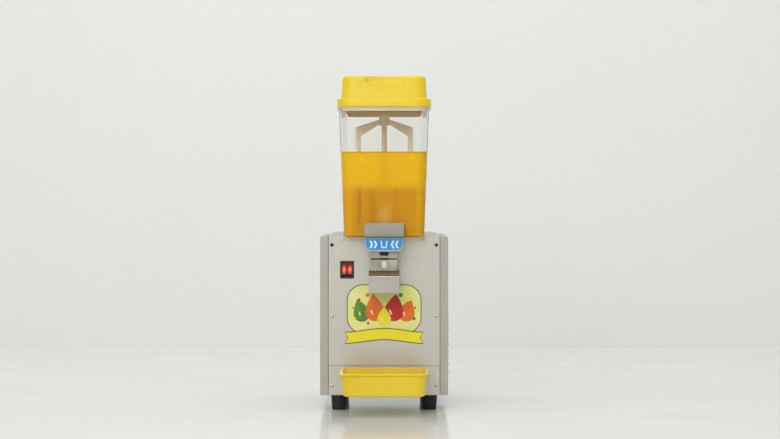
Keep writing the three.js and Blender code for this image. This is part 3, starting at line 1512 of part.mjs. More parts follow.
function bezelSolid() {
  const face = fromFrontView(
    roundedOutline(BEZEL_WIDTH, BEZEL_HEIGHT, BEZEL_FACE),
    [FRONT_Y - BEZEL_FACE, FRONT_Y],
    SWITCH_X,
    SWITCH_Z,
  );
  const bodyHalfWidth = BEZEL_WIDTH / 2 - BEZEL_BODY_INSET;
  const bodyHalfHeight = BEZEL_HEIGHT / 2 - BEZEL_BODY_INSET;
  const body = block(
    [SWITCH_X - bodyHalfWidth, SWITCH_X + bodyHalfWidth],
    [FRONT_Y - BEZEL_FACE / 2, FRONT_Y + BEZEL_BODY_DEPTH],
    [SWITCH_Z - bodyHalfHeight, SWITCH_Z + bodyHalfHeight],
  );
  const wells = [-1, 1].map((side) => {
    const x = SWITCH_X + side * ROCKER_PITCH / 2;
    const half = ROCKER_WIDTH / 2 + CLEARANCE;
    return block(
      [x - half, x + half],
      [FRONT_Y - BEZEL_FACE - OVERRUN, FRONT_Y + ROCKER_WELL_DEPTH],
      [SWITCH_Z - wellHeight / 2, SWITCH_Z + wellHeight / 2],
    );
  });
  return cut(join(face, body), ...wells);
}
piece(controls, 'switch_bezel', bezelSolid(), blackPlastic());

// A rocker about its own pivot: its face is a shallow valley, and it rests tipped to its on side
function rockerSolid() {
  const half = ROCKER_HEIGHT / 2;
  const face = -ROCKER_PIVOT_DEPTH - BEZEL_FACE;
  const profile = outline([
    [face - ROCKER_CROWN, half],
    [face, 0],
    [face - ROCKER_CROWN, -half],
    [face + ROCKER_DEPTH, -half],
    [0, -half / 2],
    [0, half / 2],
    [face + ROCKER_DEPTH, half],
  ]);
  return fromSideView(profile, [-ROCKER_WIDTH / 2, ROCKER_WIDTH / 2]);
}

for (const [side, sign] of Object.entries({ left: -1, right: 1 })) {
  const rockerPlace = [SWITCH_X + sign * ROCKER_PITCH / 2, FRONT_Y + ROCKER_PIVOT_DEPTH, SWITCH_Z];
  const rocker = piece(controls, `rocker_${side}`, rockerSolid(), redLens(), rockerPlace);
  rocker.rotation.x = THREE.MathUtils.degToRad(ROCKER_TILT_DEG);
}

// Thermostat behind the rear panel, with its knob outside
function thermostatSolid() {
  const rear = REAR_PANEL_Y - SHEET - CLEARANCE;
  const body = block(
    [THERMOSTAT_X - THERMOSTAT_WIDTH / 2, THERMOSTAT_X + THERMOSTAT_WIDTH / 2],
    [rear - THERMOSTAT_DEPTH, rear],
    [THERMOSTAT_Z - THERMOSTAT_HEIGHT / 2, THERMOSTAT_Z + THERMOSTAT_HEIGHT / 2],
  );
  const bore = deepRod(
    KNOB_SHAFT_RADIUS + CLEARANCE,
    [rear - KNOB_SHAFT_LENGTH, rear + OVERRUN],
    THERMOSTAT_X,
    THERMOSTAT_Z,
    SMALL_FACETS,
  );
  return cut(body, bore);
}
piece(controls, 'thermostat', thermostatSolid(), blackPlastic());

// The knob's own axis runs towards +Y from the panel's outer face
function knobSolid() {
  const shaftEnd = -SHEET - KNOB_SHAFT_LENGTH + CLEARANCE;
  const skirt = CLEARANCE + KNOB_DEPTH - KNOB_GRIP_RISE;
  const geometry = new THREE.LatheGeometry([
    new THREE.Vector2(0, shaftEnd),
    new THREE.Vector2(KNOB_SHAFT_RADIUS, shaftEnd),
    new THREE.Vector2(KNOB_SHAFT_RADIUS, CLEARANCE),
    new THREE.Vector2(KNOB_RADIUS, CLEARANCE),
    new THREE.Vector2(KNOB_RADIUS - CLEARANCE, skirt),
    new THREE.Vector2(0, skirt),
  ], SMALL_FACETS);
  const grip = block(
    [-KNOB_GRIP_WIDTH / 2, KNOB_GRIP_WIDTH / 2],
    [skirt - KNOB_GRIP_RISE, skirt + KNOB_GRIP_RISE],
    [KNOB_GRIP_WIDTH - KNOB_RADIUS, KNOB_RADIUS - KNOB_GRIP_RISE],
  );
  return join(solidOf(geometry), grip);
}
piece(controls, 'thermostat_knob', knobSolid(), blackPlastic(), [THERMOSTAT_X, REAR_PANEL_Y, THERMOSTAT_Z]);

// Mains inlet: a flange outside the rear panel, a hollow body and three blades
function inletSolid() {
  const outerY = REAR_PANEL_Y + INLET_FLANGE;
  const frame = fromFrontView(
    roundedOutline(INLET_WIDTH, INLET_HEIGHT, INLET_FLANGE),
    [REAR_PANEL_Y, outerY],
    INLET_X,
    INLET_Z,
  );
  const bodyX = [INLET_X - inletBodyWidth / 2, INLET_X + inletBodyWidth / 2];
  const bodyZ = [INLET_Z - inletBodyHeight / 2, INLET_Z + inletBodyHeight / 2];
  const body = block(bodyX, [REAR_PANEL_Y - INLET_DEPTH, outerY], bodyZ);
  const socket = block(
    [bodyX[0] + INLET_WALL, bodyX[1] - INLET_WALL],
    [outerY - INLET_SOCKET_DEPTH, outerY + OVERRUN],
    [bodyZ[0] + INLET_WALL, bodyZ[1] - INLET_WALL],
  );
  const blades = [-1, 0, 1].map((place) => {
    const x = INLET_X + place * INLET_BLADE_PITCH;
    return block(
      [x - INLET_BLADE_WIDTH / 2, x + INLET_BLADE_WIDTH / 2],
      [outerY - INLET_SOCKET_DEPTH - INLET_WALL, outerY - INLET_WALL],
      [INLET_Z - INLET_BLADE_HEIGHT / 2, INLET_Z + INLET_BLADE_HEIGHT / 2],
    );
  });
  return join(cut(join(frame, body), socket), ...blades);
}
piece(controls, 'mains_inlet', inletSolid(), blackPlastic());

// Drip tray and its grate

const tray = assembly('tray');

function trayLevel(z, width, inset, corner) {
  const spread = (TRAY_RIM_WIDTH - width) / 2;
  return {
    width: width - 2 * inset,
    depth: TRAY_DEPTH - 2 * (spread + inset),
    corner: corner - inset,
    y: TRAY_Y,
    z,
  };
}

function trayBody(inset, floorZ, topZ) {
  const round = TRAY_FOOT_ROUND;
  const levelAt = (z, depthIn) => trayLevel(z, TRAY_BASE_WIDTH, depthIn, TRAY_CORNER);
  return drawnThrough([
    ...footLevels(floorZ, round, inset, levelAt),
    trayLevel(topZ, TRAY_TOP_WIDTH, inset, TRAY_CORNER),
  ]);
}

function trayRim() {
  const low = TRAY_RIM_Z - TRAY_RIM_DROP;
  return drawnThrough([
    trayLevel(low, TRAY_TOP_WIDTH, 0, TRAY_CORNER),
    trayLevel(low + TRAY_RIM_DROP / 2, TRAY_RIM_WIDTH, 0, TRAY_CORNER),
    trayLevel(TRAY_RIM_Z, TRAY_RIM_WIDTH, 0, TRAY_CORNER),
  ]);
}

function traySolid() {
  const outside = join(trayBody(0, TRAY_BASE_Z, TRAY_RIM_Z - TRAY_RIM_DROP / 2), trayRim());
  const deep = trayBody(TRAY_WALL + TRAY_LEDGE, TRAY_BASE_Z + TRAY_WALL, TRAY_RIM_Z + OVERRUN);
  const mouth = drawnThrough([
    trayLevel(TRAY_LEDGE_Z, TRAY_TOP_WIDTH, TRAY_WALL, TRAY_CORNER),
    trayLevel(TRAY_RIM_Z + OVERRUN, TRAY_TOP_WIDTH, TRAY_WALL, TRAY_CORNER),
  ]);
  const rearWallY = FRONT_Y - CLEARANCE - (TRAY_RIM_WIDTH - TRAY_BASE_WIDTH) / 2;
  const tongues = [-1, 1].map((side) => block(
    tongueLimits(side, 0),
    [rearWallY - TRAY_WALL / 2, FRONT_Y + TONGUE_LENGTH],
    [TONGUE_Z, TONGUE_Z + TONGUE_THICK],
  ));
  return cut(join(outside, ...tongues), deep, mouth);
}
piece(tray, 'drip_tray', traySolid(), yellowPlastic());

function grateSolid() {
  const level = (z) => trayLevel(z, TRAY_TOP_WIDTH, TRAY_WALL + GRATE_GAP, TRAY_CORNER);
  const seat = TRAY_LEDGE_Z;
  const plate = drawnThrough([level(seat), level(seat + GRATE_THICK)]);
  const { depth } = level(seat);
  const half = depth / 2 - GRATE_BORDER;
  const slots = [];
  for (let i = 0; i < GRATE_SLOTS; i += 1) {
    const x = (i - (GRATE_SLOTS - 1) / 2) * GRATE_PITCH;
    slots.push(block(
      [x - GRATE_SLOT / 2, x + GRATE_SLOT / 2],
      [TRAY_Y - half, TRAY_Y + half],
      [seat - OVERRUN, seat + GRATE_THICK + OVERRUN],
    ));
  }
  return cut(plate, ...slots);
}
piece(tray, 'drip_grate', grateSolid(), yellowPlastic());

// Cooling unit inside the cabinet

const unit = assembly('cooling_unit');

// Compressor about its own vertical axis, standing on four grommets
function compressorSolid() {
  const low = COMPRESSOR_FOOT;
  const high = low + COMPRESSOR_HEIGHT;
  const inner = COMPRESSOR_RADIUS - COMPRESSOR_ROUND;
  const can = turned([
    [0, low],
    [inner, low],
    [COMPRESSOR_RADIUS, low + COMPRESSOR_ROUND],
    [COMPRESSOR_RADIUS, high - COMPRESSOR_ROUND],
    [inner, high],
    [0, high],
  ], ROUND_FACETS);
  const plate = block(
    [-COMPRESSOR_PLATE_LENGTH / 2, COMPRESSOR_PLATE_LENGTH / 2],
    [-COMPRESSOR_PLATE_WIDTH / 2, COMPRESSOR_PLATE_WIDTH / 2],
    [low - COMPRESSOR_PLATE, low + COMPRESSOR_PLATE],
  );
  const grommets = [];
  for (const sx of [-1, 1]) {
    for (const sy of [-1, 1]) {
      const x = sx * (COMPRESSOR_PLATE_LENGTH / 2 - COMPRESSOR_FOOT_RADIUS);
      const y = sy * (COMPRESSOR_PLATE_WIDTH / 2 - COMPRESSOR_FOOT_RADIUS);
      grommets.push(post(COMPRESSOR_FOOT_RADIUS, [0, low], TINY_FACETS, x, y));
    }
  }
  const stubs = [-1, 1].map((side) => (
    post(STUB_RADIUS, [high - STUB_HEIGHT, high + STUB_HEIGHT], PIPE_SIDES, side * STUB_OFFSET, 0)
  ));
  return join(can, plate, ...grommets, ...stubs);
}
const compressorPlace = [COMPRESSOR_X, COMPRESSOR_Y, PAN_TOP_Z];
piece(unit, 'compressor', compressorSolid(), blackEnamel(), compressorPlace);

const relaySolid = block(
  [RELAY_X, RELAY_X + RELAY_WIDTH],
  [COMPRESSOR_Y - RELAY_LENGTH / 2, COMPRESSOR_Y + RELAY_LENGTH / 2],
  [RELAY_Z, RELAY_Z + RELAY_HEIGHT],
);
piece(unit, 'start_relay', relaySolid, blackPlastic());

const condenserY = [COMPRESSOR_Y - CONDENSER_LENGTH / 2, COMPRESSOR_Y + CONDENSER_LENGTH / 2];
const condenserLowZ = PAN_TOP_Z + CLEARANCE;
const condenserHighZ = condenserLowZ + CONDENSER_HEIGHT;

function condenserSolid() {
  const body = block([CONDENSER_X, CONDENSER_X + CONDENSER_THICK], condenserY, [condenserLowZ, condenserHighZ]);
  const pitch = (CONDENSER_LENGTH - 2 * CONDENSER_FRAME + CONDENSER_FIN) / CONDENSER_FINS;
  const gaps = [];
  for (let i = 0; i < CONDENSER_FINS; i += 1) {
    const y = condenserY[0] + CONDENSER_FRAME + i * pitch;
    gaps.push(block(
      [CONDENSER_X - OVERRUN, CONDENSER_X + CONDENSER_THICK + OVERRUN],
      [y, y + pitch - CONDENSER_FIN],
      [condenserLowZ + CONDENSER_FRAME, condenserHighZ - CONDENSER_FRAME],
    ));
  }
  return cut(body, ...gaps);
}
piece(unit, 'condenser', condenserSolid(), aluminium());

function shroudSolid() {
  const plate = block([SHROUD_X, SHROUD_X + SHROUD_SHEET], condenserY, [condenserLowZ, condenserHighZ]);
  const ringReach = [SHROUD_X, SHROUD_X + SHROUD_RING_DEPTH];
  const ring = crossRod(SHROUD_RING_RADIUS, ringReach, COMPRESSOR_Y, FAN_Z, FINE_FACETS);
  const hole = crossRod(
    SHROUD_RING_RADIUS - SHROUD_SHEET,
    [SHROUD_X - OVERRUN, ringReach[1] + OVERRUN],
    COMPRESSOR_Y,
    FAN_Z,
    FINE_FACETS,
  );
  return cut(join(plate, ring), hole);
}
piece(unit, 'fan_shroud', shroudSolid(), blackPlastic());

// Fan about its own axis, which runs along +X from the hub's front face
function fanSolid() {
  const hub = crossRod(FAN_HUB_RADIUS, [0, FAN_HUB_DEPTH], 0, 0, SMALL_FACETS);
  const shaft = crossRod(FAN_SHAFT_RADIUS, [0, FAN_HUB_DEPTH + FAN_SHAFT_LENGTH], 0, 0, SMALL_FACETS);
  const blades = [];
  for (let i = 0; i < FAN_BLADES; i += 1) {
    const length = FAN_RADIUS - FAN_HUB_RADIUS / 2;
    const geometry = new THREE.BoxGeometry(FAN_BLADE_SHEET, FAN_BLADE_CHORD, length);
    geometry.translate(0, 0, length / 2 + FAN_HUB_RADIUS / 2);
    geometry.rotateZ(THREE.MathUtils.degToRad(FAN_BLADE_PITCH_DEG));
    geometry.translate(FAN_HUB_DEPTH / 2, 0, 0);
    geometry.rotateX(i / FAN_BLADES * Math.PI * 2);
    blades.push(solidOf(geometry));
  }
  return join(hub, shaft, ...blades);
}
piece(unit, 'fan_blade', fanSolid(), blackPlastic(), [FAN_X, COMPRESSOR_Y, FAN_Z]);

const fanMotorX = FAN_X + FAN_HUB_DEPTH + FAN_MOTOR_GAP;

function fanMotorSolid() {
  const reach = [fanMotorX, fanMotorX + FAN_MOTOR_DEPTH];
  const body = crossRod(FAN_MOTOR_RADIUS, reach, COMPRESSOR_Y, FAN_Z, ROUND_FACETS);
  const middle = (reach[0] + reach[1]) / 2;
  const stand = block(
    [middle - FAN_STAND_DEPTH / 2, middle + FAN_STAND_DEPTH / 2],
    [COMPRESSOR_Y - FAN_STAND_WIDTH / 2, COMPRESSOR_Y + FAN_STAND_WIDTH / 2],
    [condenserLowZ, FAN_Z],
  );
  const bore = crossRod(
    FAN_SHAFT_RADIUS + CLEARANCE,
    [reach[0] - OVERRUN, FAN_X + FAN_HUB_DEPTH + FAN_SHAFT_LENGTH + CLEARANCE],
    COMPRESSOR_Y,
    FAN_Z,
    SMALL_FACETS,
  );
  return cut(join(body, stand), bore);
}
piece(unit, 'fan_motor', fanMotorSolid(), blackEnamel());

// Pipes, from the compressor's stubs to the condenser and the coil

const stubTopZ = PAN_TOP_Z + COMPRESSOR_FOOT + COMPRESSOR_HEIGHT + STUB_HEIGHT + CLEARANCE;
const condenserPortX = CONDENSER_X + CONDENSER_THICK / 2;
const portZ = condenserHighZ + CLEARANCE;

const dischargePipe = pipeThrough([
  [COMPRESSOR_X - STUB_OFFSET, COMPRESSOR_Y, stubTopZ],
  [COMPRESSOR_X - STUB_OFFSET, COMPRESSOR_Y, PIPE_LOOP_Z - STUB_OFFSET],
  [COMPRESSOR_X - 2 * STUB_OFFSET, COMPRESSOR_Y, PIPE_LOOP_Z],
  [condenserPortX + STUB_OFFSET, COMPRESSOR_Y, PIPE_LOOP_Z],
  [condenserPortX, COMPRESSOR_Y, PIPE_LOOP_Z - STUB_OFFSET],
  [condenserPortX, COMPRESSOR_Y, portZ],
], PIPE_RADIUS, PIPE_STEPS);
piece(unit, 'discharge_pipe', dischargePipe, copper());

const suctionX = COMPRESSOR_X + STUB_OFFSET;
const suctionPipe = pipeThrough([
  [suctionX, COMPRESSOR_Y, stubTopZ],
  [suctionX, COMPRESSOR_Y, PIPE_LOOP_Z],
  [(suctionX + coilLeadX) / 2, (COMPRESSOR_Y + coilLeadY) / 2, (PIPE_LOOP_Z + COIL_LEAD_Z) / 2],
  [coilLeadX, coilLeadY, COIL_LEAD_Z - STUB_OFFSET],
  [coilLeadX, coilLeadY, COIL_LEAD_Z - CLEARANCE],
], PIPE_RADIUS, PIPE_STEPS);
piece(unit, 'suction_pipe', suctionPipe, copper());

// The liquid line leaves the condenser's front end, swells into the drier and climbs into the dome
function liquidLine() {
  const portY = condenserY[0] + CONDENSER_FRAME;
  const endRadius = coilRadius - COIL_TUBE_RADIUS - LIQUID_PIPE_RADIUS - CLEARANCE;
  const endX = -endRadius * Math.cos(COIL_START_ANGLE);
  const endY = DOME_Y + endRadius * Math.sin(COIL_START_ANGLE);
  const drierLowZ = portZ + STUB_OFFSET;
  const tube = pipeThrough([
    [condenserPortX, portY, portZ],
    [condenserPortX, portY, drierLowZ],
    [condenserPortX, portY, drierLowZ + DRIER_LENGTH],
    [condenserPortX, portY, drierLowZ + DRIER_LENGTH + STUB_OFFSET],
    [endX, endY, COIL_LEAD_Z - STUB_OFFSET],
    [endX, endY, COIL_LOW_Z],
  ], LIQUID_PIPE_RADIUS, PIPE_STEPS);
  const drier = post(DRIER_RADIUS, [drierLowZ, drierLowZ + DRIER_LENGTH], TINY_FACETS, condenserPortX, portY);
  return join(tube, drier);
}
piece(unit, 'filter_drier', liquidLine(), copper());

export default dispenser;
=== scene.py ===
import json
import math

import bmesh
import bpy
from mathutils import Matrix, Vector

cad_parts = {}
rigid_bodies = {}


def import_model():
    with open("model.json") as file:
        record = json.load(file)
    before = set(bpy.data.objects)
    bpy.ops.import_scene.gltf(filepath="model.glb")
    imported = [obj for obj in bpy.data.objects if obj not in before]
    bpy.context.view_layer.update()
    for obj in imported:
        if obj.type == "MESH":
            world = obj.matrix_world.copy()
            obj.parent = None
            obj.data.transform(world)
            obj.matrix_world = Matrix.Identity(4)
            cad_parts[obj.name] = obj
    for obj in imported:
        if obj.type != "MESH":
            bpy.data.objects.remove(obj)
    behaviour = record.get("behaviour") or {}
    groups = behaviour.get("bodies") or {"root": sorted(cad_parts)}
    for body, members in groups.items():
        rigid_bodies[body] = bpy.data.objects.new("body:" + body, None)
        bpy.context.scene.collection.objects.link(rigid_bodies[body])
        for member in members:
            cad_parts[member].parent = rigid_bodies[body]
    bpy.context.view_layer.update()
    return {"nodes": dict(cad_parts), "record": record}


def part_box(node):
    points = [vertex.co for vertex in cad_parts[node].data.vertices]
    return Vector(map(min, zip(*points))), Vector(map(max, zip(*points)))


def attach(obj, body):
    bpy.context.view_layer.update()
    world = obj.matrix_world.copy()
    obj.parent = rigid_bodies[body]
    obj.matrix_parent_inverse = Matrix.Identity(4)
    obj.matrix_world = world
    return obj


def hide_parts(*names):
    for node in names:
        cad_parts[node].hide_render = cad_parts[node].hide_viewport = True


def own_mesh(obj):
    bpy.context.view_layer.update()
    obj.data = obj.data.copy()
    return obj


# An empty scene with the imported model
for unused in list(bpy.data.objects):
    bpy.data.objects.remove(unused, do_unlink=True)
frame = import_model()
nodes = frame["nodes"]

# Sizes in millimetres, in the model's own frame
MM = 0.001
FRONT_Y = -90.0
REAR_PANEL_Y = 215.0
HALF_WIDTH = 120.0
DOME_Y = 28.0
OUTLET_Y = -111.5
BOWL_Y = 24.5
BOWL_BASE = (150.0, 311.0)
BOWL_CORNER = 16.0
BOWL_WALL = 3.0
BOWL_SPREAD = 8.5
BOWL_FLOOR_Z = 332.7
BOWL_NECK_Z = 556.0
BOWL_RIM_Z = 567.0
SUMP_REAR_Y = -92.5
SUMP_FRONT_Y = -131.0
SUMP_FLOOR_Z = 325.0
JUICE_Z = 483.5
JUICE_INSET = 1.2
LID_SIZE = (175.0, 336.0)
LID_WALL = 2.5
LID_ROUND = 6.0
LID_SKIRT_Z = 583.0
LID_TOP_Z = 625.0
TRAY_Y = -160.0
TRAY_MIDDLE_Y = TRAY_Y - 0.15
TRAY_RIM = (164.0, 139.7)
TRAY_FOOT_WIDTH = 150.0
TRAY_WIDTH = 156.0
TRAY_CORNER = 18.0
DIAL_X = 66.0
DIAL_Z = 266.0

ORIGIN = (0, 0, 0)
UPRIGHT = Matrix.Rotation(math.radians(90), 3, "X")


# Colours and nodes

COLOUR = "NodeSocketColor"
NUMBER = "NodeSocketFloat"
DIRECTION = "NodeSocketVector"
WHITE = (1.0, 1.0, 1.0, 1.0)


def tint(red, green, blue):
    """A colour as it is read off a screen, made linear."""
    def channel(value):
        share = value / 255
        return share / 12.92 if share <= 0.04045 else ((share + 0.055) / 1.055) ** 2.4
    return (channel(red), channel(green), channel(blue), 1.0)


def add(tree, kind, inputs=None, **settings):
    """One node, with its settings, and values or links for its inputs."""
    made = tree.nodes.new(kind)
    for key, value in settings.items():
        setattr(made, key, value)
    for key, value in (inputs or {}).items():
        if isinstance(value, bpy.types.NodeSocket):
            tree.links.new(value, made.inputs[key])
        else:
            made.inputs[key].default_value = value
    return made


def calculated(tree, operation, *values):
    return add(tree, "ShaderNodeMath", dict(enumerate(values)), operation=operation).outputs[0]


def fade(tree, value, start, end, low=0.0, high=1.0):
    """Low where the value is at start, and high where it is at end."""
    return add(tree, "ShaderNodeMapRange", {0: value, 1: start, 2: end, 3: low, 4: high}).outputs[0]


def blend(tree, share, first, second):
    """The first colour where the share is 0, and the second where it is 1."""
    return add(tree, "ShaderNodeMix", {0: share, 6: first, 7: second}, data_type="RGBA").outputs[2]


def noise(tree, place, scale, detail):
    return add(tree, "ShaderNodeTexNoise", {"Vector": place, "Scale": scale, "Detail": detail}).outputs[0]


def stretched(tree, place, scale):
    return add(tree, "ShaderNodeMapping", {"Vector": place, "Scale": scale}).outputs[0]


def object_place(tree):
    return add(tree, "ShaderNodeTexCoord").outputs["Object"]


def node_group(name, inputs, outputs):
    """A group of shader nodes, with what it is given and what it puts out."""
    group = bpy.data.node_groups.new(name, "ShaderNodeTree")
    for label, kind in inputs.items():
        group.interface.new_socket(label, in_out="INPUT", socket_type=kind)
    for label, kind in outputs.items():
        group.interface.new_socket(label, in_out="OUTPUT", socket_type=kind)
    given = group.nodes.new("NodeGroupInput").outputs
    result = group.nodes.new("NodeGroupOutput").inputs
    return group, given, result


def build_surface_group():
    """Cloudy and fine variation of colour, roughness and height, which a stretch turns into brushing."""
    group, given, result = node_group(
        "surface variation",
        {
            "Light": COLOUR,
            "Dark": COLOUR,
            "Stretch": DIRECTION,
            "Cloud": NUMBER,
            "Grain": NUMBER,
            "Smooth": NUMBER,
            "Rough": NUMBER,
        },
        {"Color": COLOUR, "Roughness": NUMBER, "Height": NUMBER},
    )
    place = object_place(group)
    cloud = noise(group, place, given["Cloud"], 3.0)
    grain = noise(group, stretched(group, place, given["Stretch"]), given["Grain"], 4.0)
    share = fade(group, calculated(group, "ADD", cloud, grain), 0.7, 1.3)
    rough = fade(group, share, 0.0, 1.0, given["Smooth"], given["Rough"])
    group.links.new(blend(group, share, given["Dark"], given["Light"]), result["Color"])
    group.links.new(rough, result["Roughness"])
    group.links.new(grain, result["Height"])
    return group


def build_wear_group():
    """Paler rubbed edges, broken up by noise."""
    group, given, result = node_group(
        "rubbed edges",
        {"Color": COLOUR, "Edge": COLOUR, "Amount": NUMBER},
        {"Color": COLOUR},
    )
    bend = add(group, "ShaderNodeNewGeometry").outputs["Pointiness"]
    edge = fade(group, bend, 0.52, 0.62)
    broken = fade(group, noise(group, object_place(group), 60.0, 3.0), 0.4, 0.65)
    mask = calculated(group, "MULTIPLY", edge, broken)
    share = calculated(group, "MULTIPLY", mask, given["Amount"])
    group.links.new(blend(group, share, given["Color"], given["Edge"]), result["Color"])
    return group


def build_dust_group():
    """Dust on faces that look up, in patches; with Even at 1 it covers them all over, which on the spout
    guard is painted shade and painted reflection.
    """
    group, given, result = node_group(
        "settled dust",
        {"Color": COLOUR, "Dust": COLOUR, "Amount": NUMBER, "Even": NUMBER},
        {"Color": COLOUR},
    )
    facing = add(group, "ShaderNodeNewGeometry").outputs["Normal"]
    upward = add(group, "ShaderNodeSeparateXYZ", {0: facing}).outputs[2]
    level = fade(group, upward, 0.35, 0.65)
    thin = fade(group, noise(group, object_place(group), 25.0, 5.0), 0.4, 0.7)
    spread = calculated(group, "MAXIMUM", thin, given["Even"])
    mask = calculated(group, "MULTIPLY", level, spread)
    share = calculated(group, "MULTIPLY", mask, given["Amount"])
    group.links.new(blend(group, share, given["Color"], given["Dust"]), result["Color"])
    return group


surface_group = build_surface_group()
wear_group = build_wear_group()
dust_and_shade_group = build_dust_group()
PLAIN = (1.0, 1.0, 1.0)
BRUSHED_UP = (260.0, 260.0, 3.0)
BRUSHED_ACROSS = (3.0, 3.0, 220.0)
DUST = tint(196, 190, 178)


def finish(name, light, dark, smooth, rough, cloud=14.0, grain=500.0, stretch=PLAIN, bump=0.05, lift=0.0002,
           edge=None, wear=0.0, dust_and_shade=0.0, dust_and_shade_colour=DUST, even_shade=0.0, **shader):
    """A material of one of the object's finishes; shader holds the uniform values of its sockets."""
    material = bpy.data.materials.new(name)
    material.use_nodes = True
    tree = material.node_tree
    sockets = tree.nodes["Principled BSDF"].inputs
    variation = {
        "Light": tint(*light),
        "Dark": tint(*dark),
        "Stretch": stretch,
        "Cloud": cloud,
        "Grain": grain,
        "Smooth": smooth,
        "Rough": rough,
    }
    surface = add(tree, "ShaderNodeGroup", variation, node_tree=surface_group).outputs
    colour = surface["Color"]
    if wear:
        rubbed = {"Color": colour, "Edge": tint(*(edge or light)), "Amount": wear}
        colour = add(tree, "ShaderNodeGroup", rubbed, node_tree=wear_group).outputs["Color"]
    # Dust on upward faces; on the spout guard an even painted shade and painted reflection
    if dust_and_shade:
        settled = {"Color": colour, "Dust": dust_and_shade_colour, "Amount": dust_and_shade, "Even": even_shade}
        colour = add(tree, "ShaderNodeGroup", settled, node_tree=dust_and_shade_group).outputs["Color"]
    relief = add(tree, "ShaderNodeBump", {"Height": surface["Height"], "Strength": bump, "Distance": lift})
    tree.links.new(colour, sockets["Base Color"])
    tree.links.new(surface["Roughness"], sockets["Roughness"])
    tree.links.new(relief.outputs["Normal"], sockets["Normal"])
    for label, value in shader.items():
        sockets[label.replace("_", " ").title().replace("Ior", "IOR")].default_value = value
    return material


def opened(material, kind, output, colour):
    """Makes a material transparent where the named output of a node of this kind is 1."""
    tree = material.node_tree
    share = add(tree, kind).outputs[output]
    clear = add(tree, "ShaderNodeBsdfTransparent", {"Color": colour}).outputs[0]
    own = tree.nodes["Principled BSDF"].outputs[0]
    mixed = add(tree, "ShaderNodeMixShader", {0: share, 1: own, 2: clear})
    tree.links.new(mixed.outputs[0], tree.nodes["Material Output"].inputs["Surface"])
    return material


# Finishes of the object

brushed_steel = finish(
    "brushed steel", (190, 186, 174), (184, 180, 168), 0.33, 0.36, cloud=2.5, grain=6.0, stretch=BRUSHED_UP,
    bump=0.04, lift=0.00004, wear=0.06, edge=(232, 230, 222), metallic=0.92,
)
front_steel = finish(
    "front panel steel", (212, 209, 199), (206, 203, 192), 0.30, 0.42, cloud=4.0, grain=6.0,
    stretch=(220.0, 220.0, 2.0), bump=0.05, lift=0.00004, wear=0.06, edge=(250, 249, 244), metallic=0.92,
)
# The lever's steel is a darker copy of the panel steel: painted shade for the dark room that its plate
# reflects
shaded_lever_steel = finish(
    "shaded lever steel", (160, 156, 144), (144, 140, 128), 0.28, 0.42, cloud=20.0, grain=9.0,
    stretch=BRUSHED_ACROSS, bump=0.06, lift=0.00004, wear=0.15, edge=(228, 226, 218), metallic=0.92,
)
folded_steel = finish(
    "bracket steel", (184, 180, 166), (162, 158, 144), 0.24, 0.38, cloud=20.0, grain=9.0,
    stretch=BRUSHED_ACROSS, bump=0.08, lift=0.00004, wear=0.2, edge=(236, 234, 228), metallic=0.92,
)
# The guard's upward faces get an even brown: painted shadow of the lever and painted reflection of the juice
# above
guard_steel = finish(
    "guard steel", (200, 197, 190), (192, 189, 182), 0.24, 0.34, cloud=20.0, grain=9.0,
    stretch=BRUSHED_ACROSS, bump=0.03, lift=0.00002, dust_and_shade=1.0, dust_and_shade_colour=tint(92, 78, 54), even_shade=0.96,
    metallic=0.92,
)
bright_steel = finish(
    "bright steel", (214, 212, 206), (190, 187, 179), 0.12, 0.24, cloud=30.0, grain=300.0, bump=0.03,
    metallic=1.0,
)
blackened_steel = finish(
    "blackened steel", (70, 66, 58), (44, 42, 38), 0.26, 0.42, cloud=90.0, grain=400.0, bump=0.05, wear=0.5,
    edge=(150, 146, 136), metallic=0.9,
)
galvanised_sheet = finish(
    "galvanised sheet", (188, 189, 187), (152, 153, 151), 0.34, 0.52, cloud=70.0, grain=190.0, bump=0.06,
    wear=0.3, dust_and_shade=0.25, metallic=0.85,
)
yellow_plastic = finish(
    "yellow plastic", (236, 207, 22), (229, 198, 16), 0.40, 0.50, cloud=8.0, grain=900.0, bump=0.05,
    wear=0.35, edge=(248, 232, 100), coat_weight=0.06, coat_roughness=0.3,
)
tray_plastic = finish(
    "tray plastic", (240, 210, 40), (228, 194, 30), 0.26, 0.42, cloud=16.0, grain=900.0, bump=0.05,
    wear=0.4, edge=(244, 228, 110), dust_and_shade=0.15, coat_weight=0.1, coat_roughness=0.2,
)
beige_plastic = finish(
    "beige plastic", (252, 236, 208), (244, 226, 192), 0.34, 0.46, cloud=18.0, grain=700.0, bump=0.05,
    wear=0.2, edge=(228, 214, 188),
)
hood_plastic = finish(
    "spray hood plastic", (255, 249, 236), (253, 243, 226), 0.42, 0.52, cloud=18.0, grain=700.0, bump=0.04,
    subsurface_weight=0.3, subsurface_scale=0.01,
)
white_plastic = finish(
    "white plastic", (226, 222, 210), (208, 202, 188), 0.32, 0.45, cloud=20.0, grain=700.0, bump=0.04,
)
black_plastic = finish(
    "black plastic", (34, 34, 36), (20, 20, 22), 0.30, 0.48, cloud=40.0, grain=1100.0, bump=0.12,
    wear=0.3, edge=(74, 74, 76),
)
black_rubber = finish(
    "black rubber", (32, 35, 34), (18, 20, 20), 0.55, 0.75, cloud=30.0, grain=800.0, bump=0.20,
    wear=0.3, edge=(76, 76, 72), dust_and_shade=0.5,
)
grey_rubber = finish(
    "grey rubber", (120, 118, 112), (92, 90, 86), 0.55, 0.70, cloud=40.0, grain=800.0, bump=0.15,
)
black_enamel = finish(
    "black enamel", (30, 30, 32), (16, 16, 18), 0.18, 0.34, cloud=25.0, grain=260.0, bump=0.10, dust_and_shade=0.3,
    coat_weight=0.4,
)
